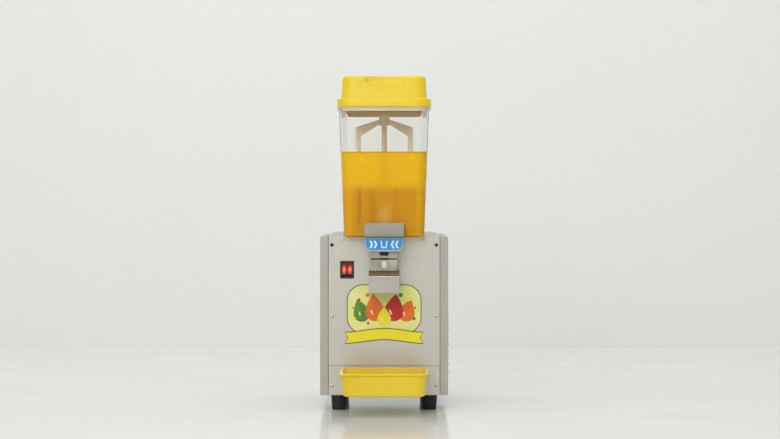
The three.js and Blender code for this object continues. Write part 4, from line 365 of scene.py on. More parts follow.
copper_tube = finish(
    "copper tube", (206, 128, 84), (150, 84, 54), 0.22, 0.42, cloud=60.0, grain=300.0, bump=0.04,
    metallic=1.0,
)
aluminium_fins = finish(
    "aluminium fins", (206, 208, 210), (168, 171, 174), 0.30, 0.46, cloud=50.0, grain=400.0, bump=0.05,
    dust_and_shade=0.3, metallic=0.95,
)
# Shadow rays pass the clear plastic, so that what stands in the bowl isn't dark
clear_plastic = opened(
    finish(
        "clear plastic", (253, 253, 251), (249, 249, 246), 0.01, 0.04, cloud=6.0, grain=160.0, bump=0.01,
        transmission_weight=1.0, ior=1.32,
    ),
    "ShaderNodeLightPath",
    "Is Shadow Ray",
    (0.98, 0.98, 0.97, 1.0),
)
lip_plastic = finish(
    "lid lip plastic", (255, 244, 220), (250, 232, 202), 0.34, 0.46, cloud=20.0, grain=700.0, bump=0.04,
)


def build_juice():
    """Cloudy juice with painted shade and light for the parts in it: painted shade low down, by the tube,
    round the dome and along its surface, faint upright streaks of painted reflection off the dome, and a
    painted paler glow where the valve cage stands close behind the front wall. Its zones are given in
    metres."""
    material = finish(
        "juice", (248, 202, 0), (244, 194, 0), 0.24, 0.28, cloud=12.0, grain=60.0, bump=0.0,
        transmission_weight=0.1, ior=1.34, specular_ior_level=0.08, subsurface_weight=0.25,
        subsurface_scale=0.02,
    )
    tree = material.node_tree
    base_colour = tree.nodes["Principled BSDF"].inputs["Base Color"]
    colour = base_colour.links[0].from_socket
    place = object_place(tree)
    x, y, z = add(tree, "ShaderNodeSeparateXYZ", {0: place}).outputs
    from_middle = calculated(tree, "ABSOLUTE", x)
    from_dome = calculated(tree, "ABSOLUTE", calculated(tree, "SUBTRACT", y, DOME_Y * MM))
    across = calculated(tree, "MINIMUM", from_middle, from_dome)

    # Painted shade low down and by the tube, and again round the dome, with streaks of painted reflection
    # off the dome
    low = fade(tree, z, 0.424, 0.408)
    tube_shade = fade(tree, across, 0.010, 0.005, high=0.55)
    colour = blend(tree, calculated(tree, "MAXIMUM", low, tube_shade), colour, tint(236, 178, 0))
    over_dome = fade(tree, across, 0.063, 0.056)
    dome = calculated(tree, "MULTIPLY", low, over_dome)
    colour = blend(tree, dome, colour, tint(224, 162, 0))
    streaks = noise(tree, stretched(tree, place, (120.0, 120.0, 4.0)), 1.0, 1.0)
    fine = fade(tree, streaks, 0.56, 0.70, high=0.7)
    colour = blend(tree, calculated(tree, "MULTIPLY", dome, fine), colour, tint(198, 132, 0))

    # Painted light: paler before the valve cage, which shows through the juice
    cage_sides = fade(tree, from_middle, 0.0160, 0.0060, high=0.5)
    cage_top = fade(tree, z, 0.389, 0.371)
    by_front = fade(tree, y, -0.115, -0.125)
    cage = calculated(tree, "MULTIPLY", calculated(tree, "MULTIPLY", cage_sides, cage_top), by_front)
    colour = blend(tree, cage, colour, tint(226, 188, 100))

    # Painted shade: a darker line just below the surface, at the meniscus
    meniscus_shade_rising = fade(tree, z, 0.4806, 0.4818, high=0.5)
    meniscus_shade_ending = fade(tree, z, 0.4830, 0.4834, low=1.0, high=0.0)
    colour = blend(tree, calculated(tree, "MULTIPLY", meniscus_shade_rising, meniscus_shade_ending), colour, tint(196, 128, 0))
    tree.links.new(colour, base_colour)
    return material


juice_finish = build_juice()
label_white = finish("label white", (240, 240, 236), (228, 228, 224), 0.25, 0.35, grain=900.0, bump=0.02)
label_blue = finish(
    "label blue", (40, 152, 222), (32, 138, 208), 0.22, 0.34, cloud=20.0, grain=900.0, bump=0.02,
    coat_weight=0.3,
)
print_yellow = finish("print yellow", (246, 234, 40), (240, 224, 32), 0.26, 0.38, cloud=30.0, bump=0.02)
print_cream = finish("print cream", (244, 240, 172), (212, 222, 104), 0.26, 0.38, cloud=24.0, bump=0.02)
print_orange = finish("print orange", (240, 130, 24), (222, 96, 12), 0.26, 0.38, cloud=40.0, bump=0.02)
print_red = finish("print red", (206, 40, 34), (168, 22, 24), 0.26, 0.38, cloud=40.0, bump=0.02)
print_green = finish("print green", (96, 156, 44), (52, 110, 30), 0.26, 0.38, cloud=40.0, bump=0.02)
print_dark = finish("print dark", (34, 34, 30), (22, 22, 20), 0.28, 0.40, cloud=40.0, bump=0.02)


def lit_lens(name, middle):
    """A red rocker with its lamp on: the glow fades from the middle to the ends."""
    material = finish(
        name, (104, 8, 6), (80, 5, 4), 0.42, 0.52, cloud=60.0, grain=300.0, bump=0.02, coat_weight=0.05,
        emission_strength=0.9,
    )
    tree = material.node_tree
    place = object_place(tree)
    away = add(tree, "ShaderNodeVectorMath", {0: place, 1: middle}, operation="SUBTRACT").outputs[0]
    flat = add(tree, "ShaderNodeVectorMath", {0: away, 1: (0.9, 0.2, 0.55)}, operation="MULTIPLY").outputs[0]
    reach = add(tree, "ShaderNodeVectorMath", {0: flat}, operation="LENGTH").outputs["Value"]
    glow = add(tree, "ShaderNodeValToRGB", {0: fade(tree, reach, 0.0005, 0.0052)})
    stops = glow.color_ramp.elements
    stops[0].color = tint(255, 190, 60)
    stops[1].color = tint(60, 0, 0)
    stops.new(0.4).color = tint(240, 60, 20)
    tree.links.new(glow.outputs[0], tree.nodes["Principled BSDF"].inputs["Emission Color"])
    return material


# Shaping

def ring(bm, width, depth, corner, middle_y, z, segments=10):
    """A flat rounded rectangle."""
    before = set(bm.faces)
    made = bmesh.ops.create_grid(bm, x_segments=1, y_segments=1, size=0.5)
    bmesh.ops.scale(bm, vec=(width, depth, 1), verts=made["verts"])
    bmesh.ops.translate(bm, vec=(0, middle_y, z), verts=made["verts"])
    bmesh.ops.bevel(
        bm, geom=made["verts"], offset=corner, offset_type="OFFSET", segments=segments, profile=0.5,
        affect="VERTICES", material=-1,
    )
    return next(face for face in bm.faces if face not in before)


def drawn_through(levels, middle_y):
    """A closed body through rounded rectangles: (z, width, depth, corner), from the lowest up."""
    bm = bmesh.new()
    faces = [ring(bm, width, depth, corner, middle_y, z) for z, width, depth, corner in levels]
    for low, high in zip(faces, faces[1:]):
        bmesh.ops.bridge_loops(bm, edges=list(low.edges) + list(high.edges))
    bmesh.ops.delete(bm, geom=faces[1:-1], context="FACES_ONLY")
    bmesh.ops.recalc_face_normals(bm, faces=bm.faces)
    return bm


def turned(profile, x=0.0, y=0.0, steps=72):
    """A round body: profile is (radius, z) along its outline."""
    bm = bmesh.new()
    verts = [bm.verts.new((radius, 0, z)) for radius, z in profile]
    edges = [bm.edges.new(pair) for pair in zip(verts, verts[1:])]
    bmesh.ops.spin(
        bm, geom=verts + edges, cent=ORIGIN, axis=(0, 0, 1), angle=2 * math.pi, steps=steps, use_merge=True,
    )
    bmesh.ops.remove_doubles(bm, verts=bm.verts, dist=0.001)
    on_axis = [edge for edge in bm.edges if not edge.link_faces]
    bmesh.ops.delete(bm, geom=on_axis, context="EDGES")
    bmesh.ops.translate(bm, vec=(x, y, 0), verts=bm.verts)
    bmesh.ops.recalc_face_normals(bm, faces=bm.faces)
    return bm


def cylinder(radius, low_z, high_z, y, steps=72):
    return turned([(0, low_z), (radius, low_z), (radius, high_z), (0, high_z)], y=y, steps=steps)


def thicken(bm, move):
    """Draws a flat shape out into a body."""
    grown = bmesh.ops.extrude_face_region(bm, geom=bm.faces[:])
    moved = [item for item in grown["geom"] if isinstance(item, bmesh.types.BMVert)]
    bmesh.ops.translate(bm, vec=move, verts=moved)


def prism(points, y_low, y_high, round_off=0.0):
    """An outline of (x, z) drawn along Y, with its edges rounded off."""
    bm = bmesh.new()
    bm.faces.new([bm.verts.new((x, y_low, z)) for x, z in points])
    thicken(bm, (0, y_high - y_low, 0))
    bmesh.ops.recalc_face_normals(bm, faces=bm.faces)
    if round_off:
        bmesh.ops.bevel(
            bm, geom=bm.edges[:], offset=round_off, segments=3, profile=0.5, affect="EDGES", material=-1,
        )
    return bm


def block(half_width, low_z, high_z, y_low, y_high, middle_x=0.0, round_off=0.0):
    """A rectangular prism."""
    left = middle_x - half_width
    right = middle_x + half_width
    points = [(left, low_z), (right, low_z), (right, high_z), (left, high_z)]
    return prism(points, y_low, y_high, round_off)


def cross_ports(y, reach, low_z, high_z, half_width=4.5):
    """Two crossed blocks, which open a round piece on four sides."""
    return [
        block(reach, low_z, high_z, y - half_width, y + half_width),
        block(half_width, low_z, high_z, y - reach, y + reach),
    ]


def arc(middle, radius, start, end, steps):
    """Points (across, z) on a circle, with its angles in degrees."""
    turn = [math.radians(start + (end - start) * step / steps) for step in range(steps + 1)]
    return [(middle[0] + radius * math.cos(angle), middle[1] + radius * math.sin(angle)) for angle in turn]


def quarter_round(steps):
    """Points of a rounded edge, as shares of its radius: how far in from the side, and how far up."""
    turn = [math.radians(90 * step / steps) for step in range(steps + 1)]
    return [(1 - math.sin(angle), 1 - math.cos(angle)) for angle in turn]


def placed(name, data):
    """An object of the scene, at its origin."""
    made = bpy.data.objects.new(name, data)
    bpy.context.scene.collection.objects.link(made)
    return made


def mesh_object(name, bm):
    mesh = bpy.data.meshes.new(name)
    bm.to_mesh(mesh)
    bm.free()
    return placed(name, mesh)


def final_shape(source):
    """The shape of an object after its modifiers or its text settings."""
    shape = bmesh.new()
    shape.from_mesh(source.evaluated_get(bpy.context.evaluated_depsgraph_get()).to_mesh())
    return shape


def worked(base, joined=(), removed=()):
    """A body with others joined to it and then others taken out of it."""
    start = mesh_object("start", base)
    tools = [(mesh_object("joined", bm), "UNION") for bm in joined]
    tools += [(mesh_object("removed", bm), "DIFFERENCE") for bm in removed]
    for tool, operation in tools:
        step = start.modifiers.new(operation, "BOOLEAN")
        step.operation = operation
        step.solver = "EXACT"
        step.object = tool
    result = final_shape(start)
    for used in [start] + [tool for tool, operation in tools]:
        bpy.data.objects.remove(used, do_unlink=True)
    bmesh.ops.remove_doubles(result, verts=result.verts, dist=0.0005)
    return result


def finished(name, bm, material, body, stands_for=(), slot=None, rolled=0.0, sharp=35.0, scale=MM):
    """The piece itself: in metres, shaded smooth, with rolled edges, riding on its body."""
    bmesh.ops.scale(bm, vec=(scale, scale, scale), verts=bm.verts)
    made = mesh_object(name, bm)
    made.data.materials.append(material)
    made.data.shade_smooth()
    made.data.set_sharp_from_angle(angle=math.radians(sharp))
    if rolled:
        bevel = made.modifiers.new("rolled edges", "BEVEL")
        bevel.width = rolled * MM
        bevel.segments = 3
        bevel.limit_method = "ANGLE"
        bevel.angle_limit = math.radians(sharp)
        bevel.harden_normals = True
    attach(made, body)
    if stands_for:
        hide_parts(*stands_for)
    return made


def body_of(node):
    return next(name for name, members in frame["record"]["behaviour"]["bodies"].items() if node in members)


def slot_of(node):
    return next(part["material_slot"] for part in frame["record"]["subparts"] if part["node"] == node)


def stand_in(name, bm, material, node, **shading):
    """A finer piece in a node's place, on its body."""
    return finished(name, bm, material, body_of(node), stands_for=(node,), slot=slot_of(node), **shading)


def welded(node):
    """A copy of a node's mesh with its triangles joined to whole faces, in metres."""
    bm = bmesh.new()
    bm.from_mesh(nodes[node].data)
    bmesh.ops.remove_doubles(bm, verts=bm.verts, dist=0.00001)
    bmesh.ops.dissolve_limit(bm, angle_limit=math.radians(0.6), verts=bm.verts, edges=bm.edges)
    return bm


def rolled_copy(node, material, rolled):
    """A node with rolled edges in place of its sharp ones."""
    stand_in("soft_" + node, welded(node), material, node, rolled=rolled, sharp=38.0, scale=1.0)


# Bowl and juice

def bowl_spread(z):
    """How far the bowl's wall has leant out at a height."""
    return BOWL_SPREAD * (z - BOWL_FLOOR_Z) / (BOWL_NECK_Z - BOWL_FLOOR_Z)


def bowl_levels(inset, floor_z, foot_round, top_z):
    """Levels of the bowl's body, a given depth inside its outer face."""
    rows = []
    for inward, up in quarter_round(6):
        z = floor_z + foot_round * up
        rows.append((z, bowl_spread(z) - inset - foot_round * inward))
    if top_z < BOWL_NECK_Z:
        rows.append((top_z, bowl_spread(top_z) - inset))
    else:
        rows += [
            (BOWL_NECK_Z, BOWL_SPREAD - inset),
            (BOWL_NECK_Z + 2.0, 8.9 - inset),
            (BOWL_RIM_Z - 3.5, 12.2 - inset),
            (BOWL_RIM_Z - 2.0, 12.5 - inset),
            (top_z - 0.4, 12.5 - inset),
            (top_z, 12.1 - inset),
        ]
    return [(z, BOWL_BASE[0] + 2 * wide, BOWL_BASE[1] + 2 * wide, BOWL_CORNER + wide) for z, wide in rows]


def sump(inset, floor_z, foot_round, top_z):
    """The deeper front of the bowl, which hangs before the cabinet."""
    depth = SUMP_REAR_Y - SUMP_FRONT_Y
    rows = [(floor_z + foot_round * up, inset + foot_round * inward) for inward, up in quarter_round(6)]
    rows.append((top_z, inset))
    levels = [(z, BOWL_BASE[0] - 2 * deep, depth - 2 * deep, BOWL_CORNER - deep) for z, deep in rows]
    return drawn_through(levels, (SUMP_REAR_Y + SUMP_FRONT_Y) / 2)


bowl_outside = bowl_levels(inset=0.0, floor_z=BOWL_FLOOR_Z, foot_round=8.0, top_z=BOWL_RIM_Z)
bowl_inside = bowl_levels(
    inset=BOWL_WALL, floor_z=BOWL_FLOOR_Z + BOWL_WALL, foot_round=5.0, top_z=BOWL_RIM_Z + 5.0,
)
bowl_shape = worked(
    drawn_through(bowl_outside, BOWL_Y),
    joined=[sump(inset=0.0, floor_z=SUMP_FLOOR_Z, foot_round=6.0, top_z=BOWL_FLOOR_Z + 8.0)],
    removed=[
        drawn_through(bowl_inside, BOWL_Y),
        sump(inset=BOWL_WALL, floor_z=SUMP_FLOOR_Z + BOWL_WALL, foot_round=3.0, top_z=BOWL_FLOOR_Z + 13.0),
        cylinder(64.0, 325, 341, DOME_Y),
        cylinder(10, 320, 333, OUTLET_Y),
    ],
)
stand_in("clear_bowl", bowl_shape, clear_plastic, "bowl", sharp=30.0)

# The juice reaches into the bowl's wall, so that no gap shows, and its surface rises a little there
dome_room = [(0, 330), (64.2, 330), (64.2, 339.2), (61.6, 339.2)]
dome_room += arc((53.0, 409.0), 8.6, 0, 90, 8) + [(0, 417.6)]
juice_levels = bowl_levels(inset=JUICE_INSET, floor_z=334.4, foot_round=6.0, top_z=JUICE_Z)
top_z, top_width, top_depth, top_corner = juice_levels.pop()
for rise, narrowing in ((0.9, 0.0), (0.1, 1.6), (0.0, 4.0)):
    juice_levels.append(
        (top_z + rise, top_width - narrowing, top_depth - narrowing, top_corner - narrowing / 2)
    )
juice_shape = worked(
    drawn_through(juice_levels, BOWL_Y),
    joined=[sump(inset=JUICE_INSET, floor_z=326.6, foot_round=4.0, top_z=BOWL_FLOOR_Z + 13.0)],
    removed=[turned(dome_room, y=DOME_Y)],
)
finished("juice", juice_shape, juice_finish, "bowl", sharp=40.0)


# Lid

def lid_levels(wall, low_z, high_z):
    """Levels of the lid, a given wall inside its outer face."""
    skirt_z = LID_SKIRT_Z - wall
    rows = [
        (low_z, wall + 0.8, 27.7),
        (low_z + 0.8, wall, 28.5),
        (skirt_z - 2.6, wall, 28.5),
        (skirt_z - 0.8, wall + 0.7, 27.8),
        (skirt_z, wall + 2.4, 26.1),
        (skirt_z + 0.3, wall + 6.0, 22.5),
        (skirt_z + 1.2, wall + 7.6, 20.9),
        (skirt_z + 3.0, wall + 8.1, 20.5),
    ]
    for step, (down, inward) in enumerate(quarter_round(6)):
        rows.append((high_z - LID_ROUND * down, wall + 10.0 + LID_ROUND * inward, 20.5 - 0.5 * step))
    width, depth = LID_SIZE
    return [(z, width - 2 * deep, depth - 2 * deep, max(corner - wall, 3)) for z, deep, corner in rows]


def grip(sign, wall):
    """The finger recess at the front (sign -1) or rear edge of the lid's top."""
    half = 33.0 + wall
    wide = half + 5.0
    low = 612.0 - wall
    above = LID_TOP_Z + 5.0
    edge = BOWL_Y + sign * 160.0
    inner = edge - sign * (24.0 + wall)
    outer = edge + sign * 6.0
    points = [(-half, low), (half, low), (wide, above), (-wide, above)]
    return prism(points, min(inner, outer), max(inner, outer), round_off=1.6)


def lid_lip():
    """The rib under the lid, which locates it in the bowl's rim."""
    outer = [(560.0, 153.4, 314.4, 21.0), (567.0, 166.5, 327.5, 24.0), (569.5, 166.5, 327.5, 24.0)]
    inner = [(555.0, 148.4, 309.4, 18.5), (575.0, 148.4, 309.4, 18.5)]
    return worked(drawn_through(outer, BOWL_Y), removed=[drawn_through(inner, BOWL_Y)])


hollow = worked(
    drawn_through(lid_levels(LID_WALL, 562.0, LID_TOP_Z - LID_WALL), BOWL_Y),
    removed=[grip(-1, LID_WALL), grip(1, LID_WALL)],
)
lid_shape = worked(
    drawn_through(lid_levels(0.0, BOWL_RIM_Z, LID_TOP_Z), BOWL_Y),
    removed=[hollow, grip(-1, 0.0), grip(1, 0.0)],
)
stand_in("moulded_lid", lid_shape, yellow_plastic, "lid", rolled=0.9, sharp=32.0)
finished("lid_lip", lid_lip(), lip_plastic, "lid", slot="beige_plastic", sharp=32.0)

pip_profile = [(0, 624.6), (5, 624.6), (5, 625.6), (4.2, 626.6), (2.4, 627.0), (0, 627.0)]
pip_shape = turned(pip_profile, x=66.0, y=-104.0, steps=32)
finished("lid_vent_pip", pip_shape, yellow_plastic, "lid", slot="yellow_plastic")


# Dome, pump and spray hood

dome_profile = [(60, 330.0), (72, 330.0), (72, 331.2), (61.6, 331.2), (61, 331.8)]
dome_profile += arc((53.0, 409.0), 8.0, 0, 90, 8) + [(0, 417), (0, 415.8)]
dome_profile += arc((53.0, 409.0), 6.8, 90, 0, 8) + [(60, 330.0)]
stand_in("steel_dome", turned(dome_profile, y=DOME_Y, steps=96), bright_steel, "evaporator_dome")

gasket_profile = [
    (61.3, 331.2), (72, 331.2), (72, 332.7), (63.7, 332.7), (63.7, 338.2), (63.2, 338.7), (61.3, 338.7),
    (61.3, 331.2),
]
gasket_shape = turned(gasket_profile, y=DOME_Y, steps=96)
stand_in("round_gasket", gasket_shape, grey_rubber, "bowl_gasket", sharp=30.0)

pump_profile = [
    (21, 417.0), (24, 417.0), (24, 429.5), (23.2, 431.6), (21, 433), (3.5, 433), (3.5, 430), (21, 430),
    (21, 417.0),
]
pump_shape = worked(turned(pump_profile, y=DOME_Y), removed=cross_ports(DOME_Y, 30, 410, 423))
stand_in("round_pump_cover", pump_shape, beige_plastic, "pump_cover", sharp=30.0)

tube_profile = [(3.5, 433), (5, 433), (5, 549.7), (3.5, 549.7), (3.5, 433)]
stand_in("round_spray_tube", turned(tube_profile, y=DOME_Y, steps=32), beige_plastic, "spray_tube")


def hood_shape():
    """A flat arch with a round hub over the tube."""
    right = [(10, 540), (45.5, 517.5), (45.5, 417), (55.5, 417), (55.5, 534), (10, 549)]
    left = [(-x, z) for x, z in reversed(right)]
    arch = prism(right + left, DOME_Y - 7, DOME_Y + 7, round_off=1.2)
    hub = [(0, 538), (9.4, 538), (10, 538.6), (10, 557.5), (9.2, 559.4), (7.5, 560), (0, 560)]
    socket = cylinder(5.3, 530, 550, DOME_Y, steps=32)
    return worked(arch, joined=[turned(hub, y=DOME_Y)], removed=[socket])


stand_in("rounded_hood", hood_shape(), hood_plastic, "spray_hood", sharp=30.0)


# Drip tray

def tray_level(z, width, inset, corner):
    """A level of the tray: width is its outer width there."""
    depth = TRAY_RIM[1] - (TRAY_RIM[0] - width)
    return (z, width - 2 * inset, depth - 2 * inset, corner - inset)


def tray_body(inset, floor_z, top_z, foot_round=5):
    rows = []
    for inward, up in quarter_round(5):
        deep = inset + foot_round * inward
        rows.append(tray_level(floor_z + foot_round * up, TRAY_FOOT_WIDTH, deep, TRAY_CORNER))
    rows.append(tray_level(top_z, TRAY_WIDTH, inset, TRAY_CORNER))
    return drawn_through(rows, TRAY_MIDDLE_Y)


def tray_rim():
    rows = [
        tray_level(74.6, TRAY_WIDTH, 0.4, TRAY_CORNER),
        tray_level(75.2, 161.0, 0.0, 19.5),
        tray_level(76.2, 163.4, 0.0, 20.0),
        tray_level(77.4, 164.0, 0.0, 20.0),
        tray_level(78.5, 163.6, 0.0, 20.0),
        tray_level(79.0, 162.0, 0.0, 19.5),
    ]
    return drawn_through(rows, TRAY_MIDDLE_Y)


def tray_mouth():
    """The room above the ledge that carries the grate."""
    rows = [
        tray_level(66.0, TRAY_WIDTH, 2.5, TRAY_CORNER),
        tray_level(84.0, TRAY_WIDTH + 0.4, 2.5, TRAY_CORNER),
    ]
    return drawn_through(rows, TRAY_MIDDLE_Y)


tongues = [block(9, 62, 66, -98.0, -76.0, middle_x, round_off=0.5) for middle_x in (-45.0, 45.0)]
tray_shape = worked(
    tray_body(0.0, 36.5, 77.0),
    joined=[tray_rim()] + tongues,
    removed=[tray_body(5.5, 39.0, 84.0), tray_mouth()],
)
stand_in("moulded_tray", tray_shape, tray_plastic, "drip_tray", sharp=32.0)

GRATE_PITCH = 9.5
grate_plate = drawn_through([(66.0, 149.0, 124.7, 12.0), (70.0, 149.0, 124.7, 12.0)], TRAY_MIDDLE_Y)
grate_slots = []
for number in range(-6, 7):
    grate_slots.append(block(2.5, 60, 75, TRAY_Y - 53.5, TRAY_Y + 53.2, GRATE_PITCH * number))
grate_shape = worked(grate_plate, removed=grate_slots)
stand_in("slotted_grate", grate_shape, tray_plastic, "drip_grate", rolled=0.8)


# Feet

foot_profile = [(0, 0), (11.4, 0), (12.6, 0.6), (13.2, 2.0), (14.6, 24.5), (15, 26), (15, 28), (0, 28)]
for node in ("foot_front_left", "foot_front_right", "foot_rear_left", "foot_rear_right"):
    low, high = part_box(node)
    centre = (low + high) / 2 / MM
    foot_shape = turned(foot_profile, x=centre.x, y=centre.y, steps=48)
    stand_in("round_" + node, foot_shape, black_rubber, node)


# Valve spring, which shortens as the plunger lifts

SPRING_RADIUS = 7.0
SPRING_WIRE = 0.7
SPRING_TURNS = 6


def coil(radius, wire, low_z, high_z, turns, steps=24):
    """A wire wound round the outlet's axis."""
    bm = bmesh.new()
    made = bmesh.ops.create_circle(bm, radius=wire, segments=10)
    start = Matrix.Translation((radius, 0, low_z)) @ UPRIGHT.to_4x4()
    bmesh.ops.transform(bm, matrix=start, verts=made["verts"])
    bmesh.ops.spin(
        bm, geom=bm.verts[:] + bm.edges[:], cent=ORIGIN, axis=(0, 0, 1), angle=2 * math.pi * turns,
        steps=steps * turns, dvec=(0, 0, (high_z - low_z) / (steps * turns)),
    )
    bmesh.ops.holes_fill(bm, edges=bm.edges[:])
    bmesh.ops.translate(bm, vec=(0, OUTLET_Y, 0), verts=bm.verts)
    bmesh.ops.recalc_face_normals(bm, faces=bm.faces)
    return bm


low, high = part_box("valve_spring")
spring_shape = coil(
    SPRING_RADIUS, SPRING_WIRE, low.z / MM + SPRING_WIRE, high.z / MM - SPRING_WIRE, SPRING_TURNS,
)
wound_spring = stand_in("wound_spring", spring_shape, bright_steel, "valve_spring")
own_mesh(wound_spring)


# Pieces that keep the CAD's form, with rolled edges

for node, material, rolled in (
    ("left_side_panel", brushed_steel, 0.5),
    ("right_side_panel", brushed_steel, 0.5),
    ("top_deck", brushed_steel, 0.5),
    ("front_panel", front_steel, 0.5),
    ("lower_front_panel", front_steel, 0.5),
    ("tap_bracket", folded_steel, 0.5),
    ("spout_guard", guard_steel, 0.5),
    ("push_lever", shaded_lever_steel, 0.5),
    ("lever_stop", black_rubber, 0.8),
    ("guard_clip", white_plastic, 0.8),
    ("rear_panel", galvanised_sheet, 0.4),
    ("switch_bezel", black_plastic, 0.6),
    ("mains_inlet", black_plastic, 0.5),
    ("thermostat_knob", black_plastic, 0.5),
):
    rolled_copy(node, material, rolled)


# Barrel, cage, plunger and pin of the tap

barrel_profile = [
    (7.5, 236.6), (8.1, 236), (11.9, 236), (12.5, 236.6), (12.5, 319.2), (17, 319.2), (17, 323.2),
    (9.7, 323.2), (9.7, 331), (7.5, 331), (7.5, 236.6),
]
pin_slot = block(20, 305.7, 315.8, OUTLET_Y - 2.3, OUTLET_Y + 2.3)
barrel_shape = worked(turned(barrel_profile, y=OUTLET_Y), removed=[pin_slot])
stand_in("round_barrel", barrel_shape, white_plastic, "tap_barrel", sharp=30.0)

cage_profile = [
    (10.8, 328), (12.8, 328), (12.8, 377.6), (11.9, 379.3), (10.4, 380), (3.3, 380), (3.3, 378),
    (10.8, 378), (10.8, 328),
]
cage_shape = worked(turned(cage_profile, y=OUTLET_Y), removed=cross_ports(OUTLET_Y, 20, 334, 352))
stand_in("round_valve_cage", cage_shape, white_plastic, "valve_cage", sharp=30.0)
rolled_copy("valve_plunger", white_plastic, 0.3)
rolled_copy("pivot_pin", bright_steel, 0.3)


# Lit rockers, and the pointer on the thermostat's knob

for node in ("rocker_left", "rocker_right"):
    low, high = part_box(node)
    middle = (low + high) / 2
    rolled_copy(node, lit_lens(node + " lens", (middle.x, low.y, middle.z)), 0.5)

low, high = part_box("thermostat_knob")
pointer = block(0.8, DIAL_Z + 3.0, DIAL_Z + 11.0, high.y / MM - 0.3, high.y / MM + 0.15, DIAL_X)
finished("knob_pointer", pointer, label_white, "thermostat_knob", slot="white_plastic")


# Label on the lever: a blue field with a white border and plain pictograms

rolled_copy("lever_label", label_white, 0.15)
low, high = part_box("lever_label")
label_middle = (low + high) / 2
field = welded("lever_label")
about = Matrix.Translation(-label_middle)
bmesh.ops.scale(field, vec=(0.985, 1.0, 0.95), space=about, verts=field.verts)
bmesh.ops.translate(field, vec=(0, -0.00012, 0.0004), verts=field.verts)
finished("label_field", field, label_blue, "push_lever", slot="blue_label", scale=1.0)

LABEL_FACE_Y = low.y / MM - 0.12
LABEL_Z = label_middle.z / MM + 0.5


def raised(name, points, material, body, face_y, thickness=0.1):
    """A thin flat shape on a face that looks to the front."""
    finished(name, prism(points, face_y - thickness, face_y), material, body)


def chevron(middle_x, middle_z, sign):
    arms = [(-3.4, 7.0), (0.2, 7.0), (3.8, 0.0), (0.2, -7.0), (-3.4, -7.0), (0.2, 0.0)]
    return [(middle_x + sign * x, middle_z + z) for x, z in arms]


for number, (middle_x, sign) in enumerate(((-24.0, 1), (-16.0, 1), (16.0, -1), (24.0, -1)), 1):
    raised(f"chevron_{number}", chevron(middle_x, LABEL_Z, sign), label_white, "push_lever", LABEL_FACE_Y)
cup_outline = [
    (-6.5, 6.8), (-4.8, -6.8), (4.8, -6.8), (6.5, 6.8), (4.2, 6.8), (3.0, -4.6), (-3.0, -4.6), (-4.2, 6.8),
]
raised("cup_sign", [(x, LABEL_Z + z) for x, z in cup_outline], label_white, "push_lever", LABEL_FACE_Y)


# Printed design on the front, in thin layers: drops on a pale field, with a plain band below

PRINT_Z = 190.0
PRINT_LAYER = 0.08
BAND_Z = 139.5
BAND_WIDTH = 147.5
DISC = arc((0.0, 0.0), 1.0, 0, 345, 23)


def printed(name, bm, x, z, material, order):
    """Stands a flat shape up on the front panel, as a layer of the print."""
    bmesh.ops.rotate(bm, cent=ORIGIN, matrix=UPRIGHT, verts=bm.verts)
    thicken(bm, (0, -PRINT_LAYER, 0))
    bmesh.ops.translate(bm, vec=(x, FRONT_Y - PRINT_LAYER * order, z), verts=bm.verts)
    bmesh.ops.recalc_face_normals(bm, faces=bm.faces)
    finished(name, bm, material, "cabinet")


def rounded_field(name, width, height, corner, material, order):
    bm = bmesh.new()
    ring(bm, width, height, corner, 0.0, 0.0, segments=12)
    printed(name, bm, 0, PRINT_Z, material, order)


def drop(name, x, z, size, lean, material, order):
    """A drop with its point up."""
    bm = bmesh.new()
    bmesh.ops.create_circle(bm, cap_ends=True, radius=size, segments=40)
    for vert in bm.verts:
        if vert.co.y > 0:
            rise = vert.co.y / size
            vert.co.x *= (1 - rise) ** 0.45 if rise < 1 else 0
            vert.co.y *= 1.7
    bmesh.ops.rotate(bm, cent=ORIGIN, matrix=Matrix.Rotation(math.radians(lean), 3, "Z"), verts=bm.verts)
    printed(name, bm, x, z, material, order)


def band(name, width, height, material, order):
    """A plain band with a slow bend and notched ends."""
    bm = bmesh.new()
    bmesh.ops.create_grid(bm, x_segments=20, y_segments=2, size=0.5)
    bmesh.ops.scale(bm, vec=(width, height, 1), verts=bm.verts)
    for vert in bm.verts:
        if abs(vert.co.y) < 0.01 and abs(vert.co.x) > width / 2 - 0.1:
            vert.co.x *= 0.93
        vert.co.y += 3.5 * math.cos(vert.co.x / BAND_WIDTH * 2 * math.pi)
    printed(name, bm, 0, BAND_Z, material, order)


rounded_field("print_outline", 140.0, 92.0, 30.0, print_dark, 0)
rounded_field("print_field", 137.0, 89.0, 28.5, print_cream, 1)
drop("print_drop_1", -42.0, 182.0, 16.0, 18.0, print_green, 2)
drop("print_drop_2", 42.0, 182.0, 16.0, -18.0, print_orange, 2)
drop("print_drop_3", -17.0, 186.0, 19.0, 8.0, print_orange, 3)
drop("print_drop_4", 18.0, 186.0, 19.0, -8.0, print_red, 4)
drop("print_drop_5", 0.0, 172.0, 13.0, 0.0, print_yellow, 5)

bubbles = [
    (-31.0, 216.0, 4.0, print_orange),
    (31.0, 216.0, 4.0, print_green),
    (-47.0, 207.0, 2.6, print_red),
    (47.0, 207.0, 2.6, print_yellow),
    (-58.0, 192.0, 2.0, print_orange),
    (58.0, 192.0, 2.0, print_red),
    (-56.0, 172.0, 3.2, print_yellow),
    (56.0, 172.0, 3.2, print_green),
    (-30.0, 163.0, 2.4, print_red),
    (30.0, 163.0, 2.4, print_yellow),
]
for number, (x, z, size, material) in enumerate(bubbles, 1):
    ball = [(x + size * across, z + size * up) for across, up in DISC]
    raised(f"print_bubble_{number}", ball, material, "cabinet", FRONT_Y - 3 * PRINT_LAYER, PRINT_LAYER)

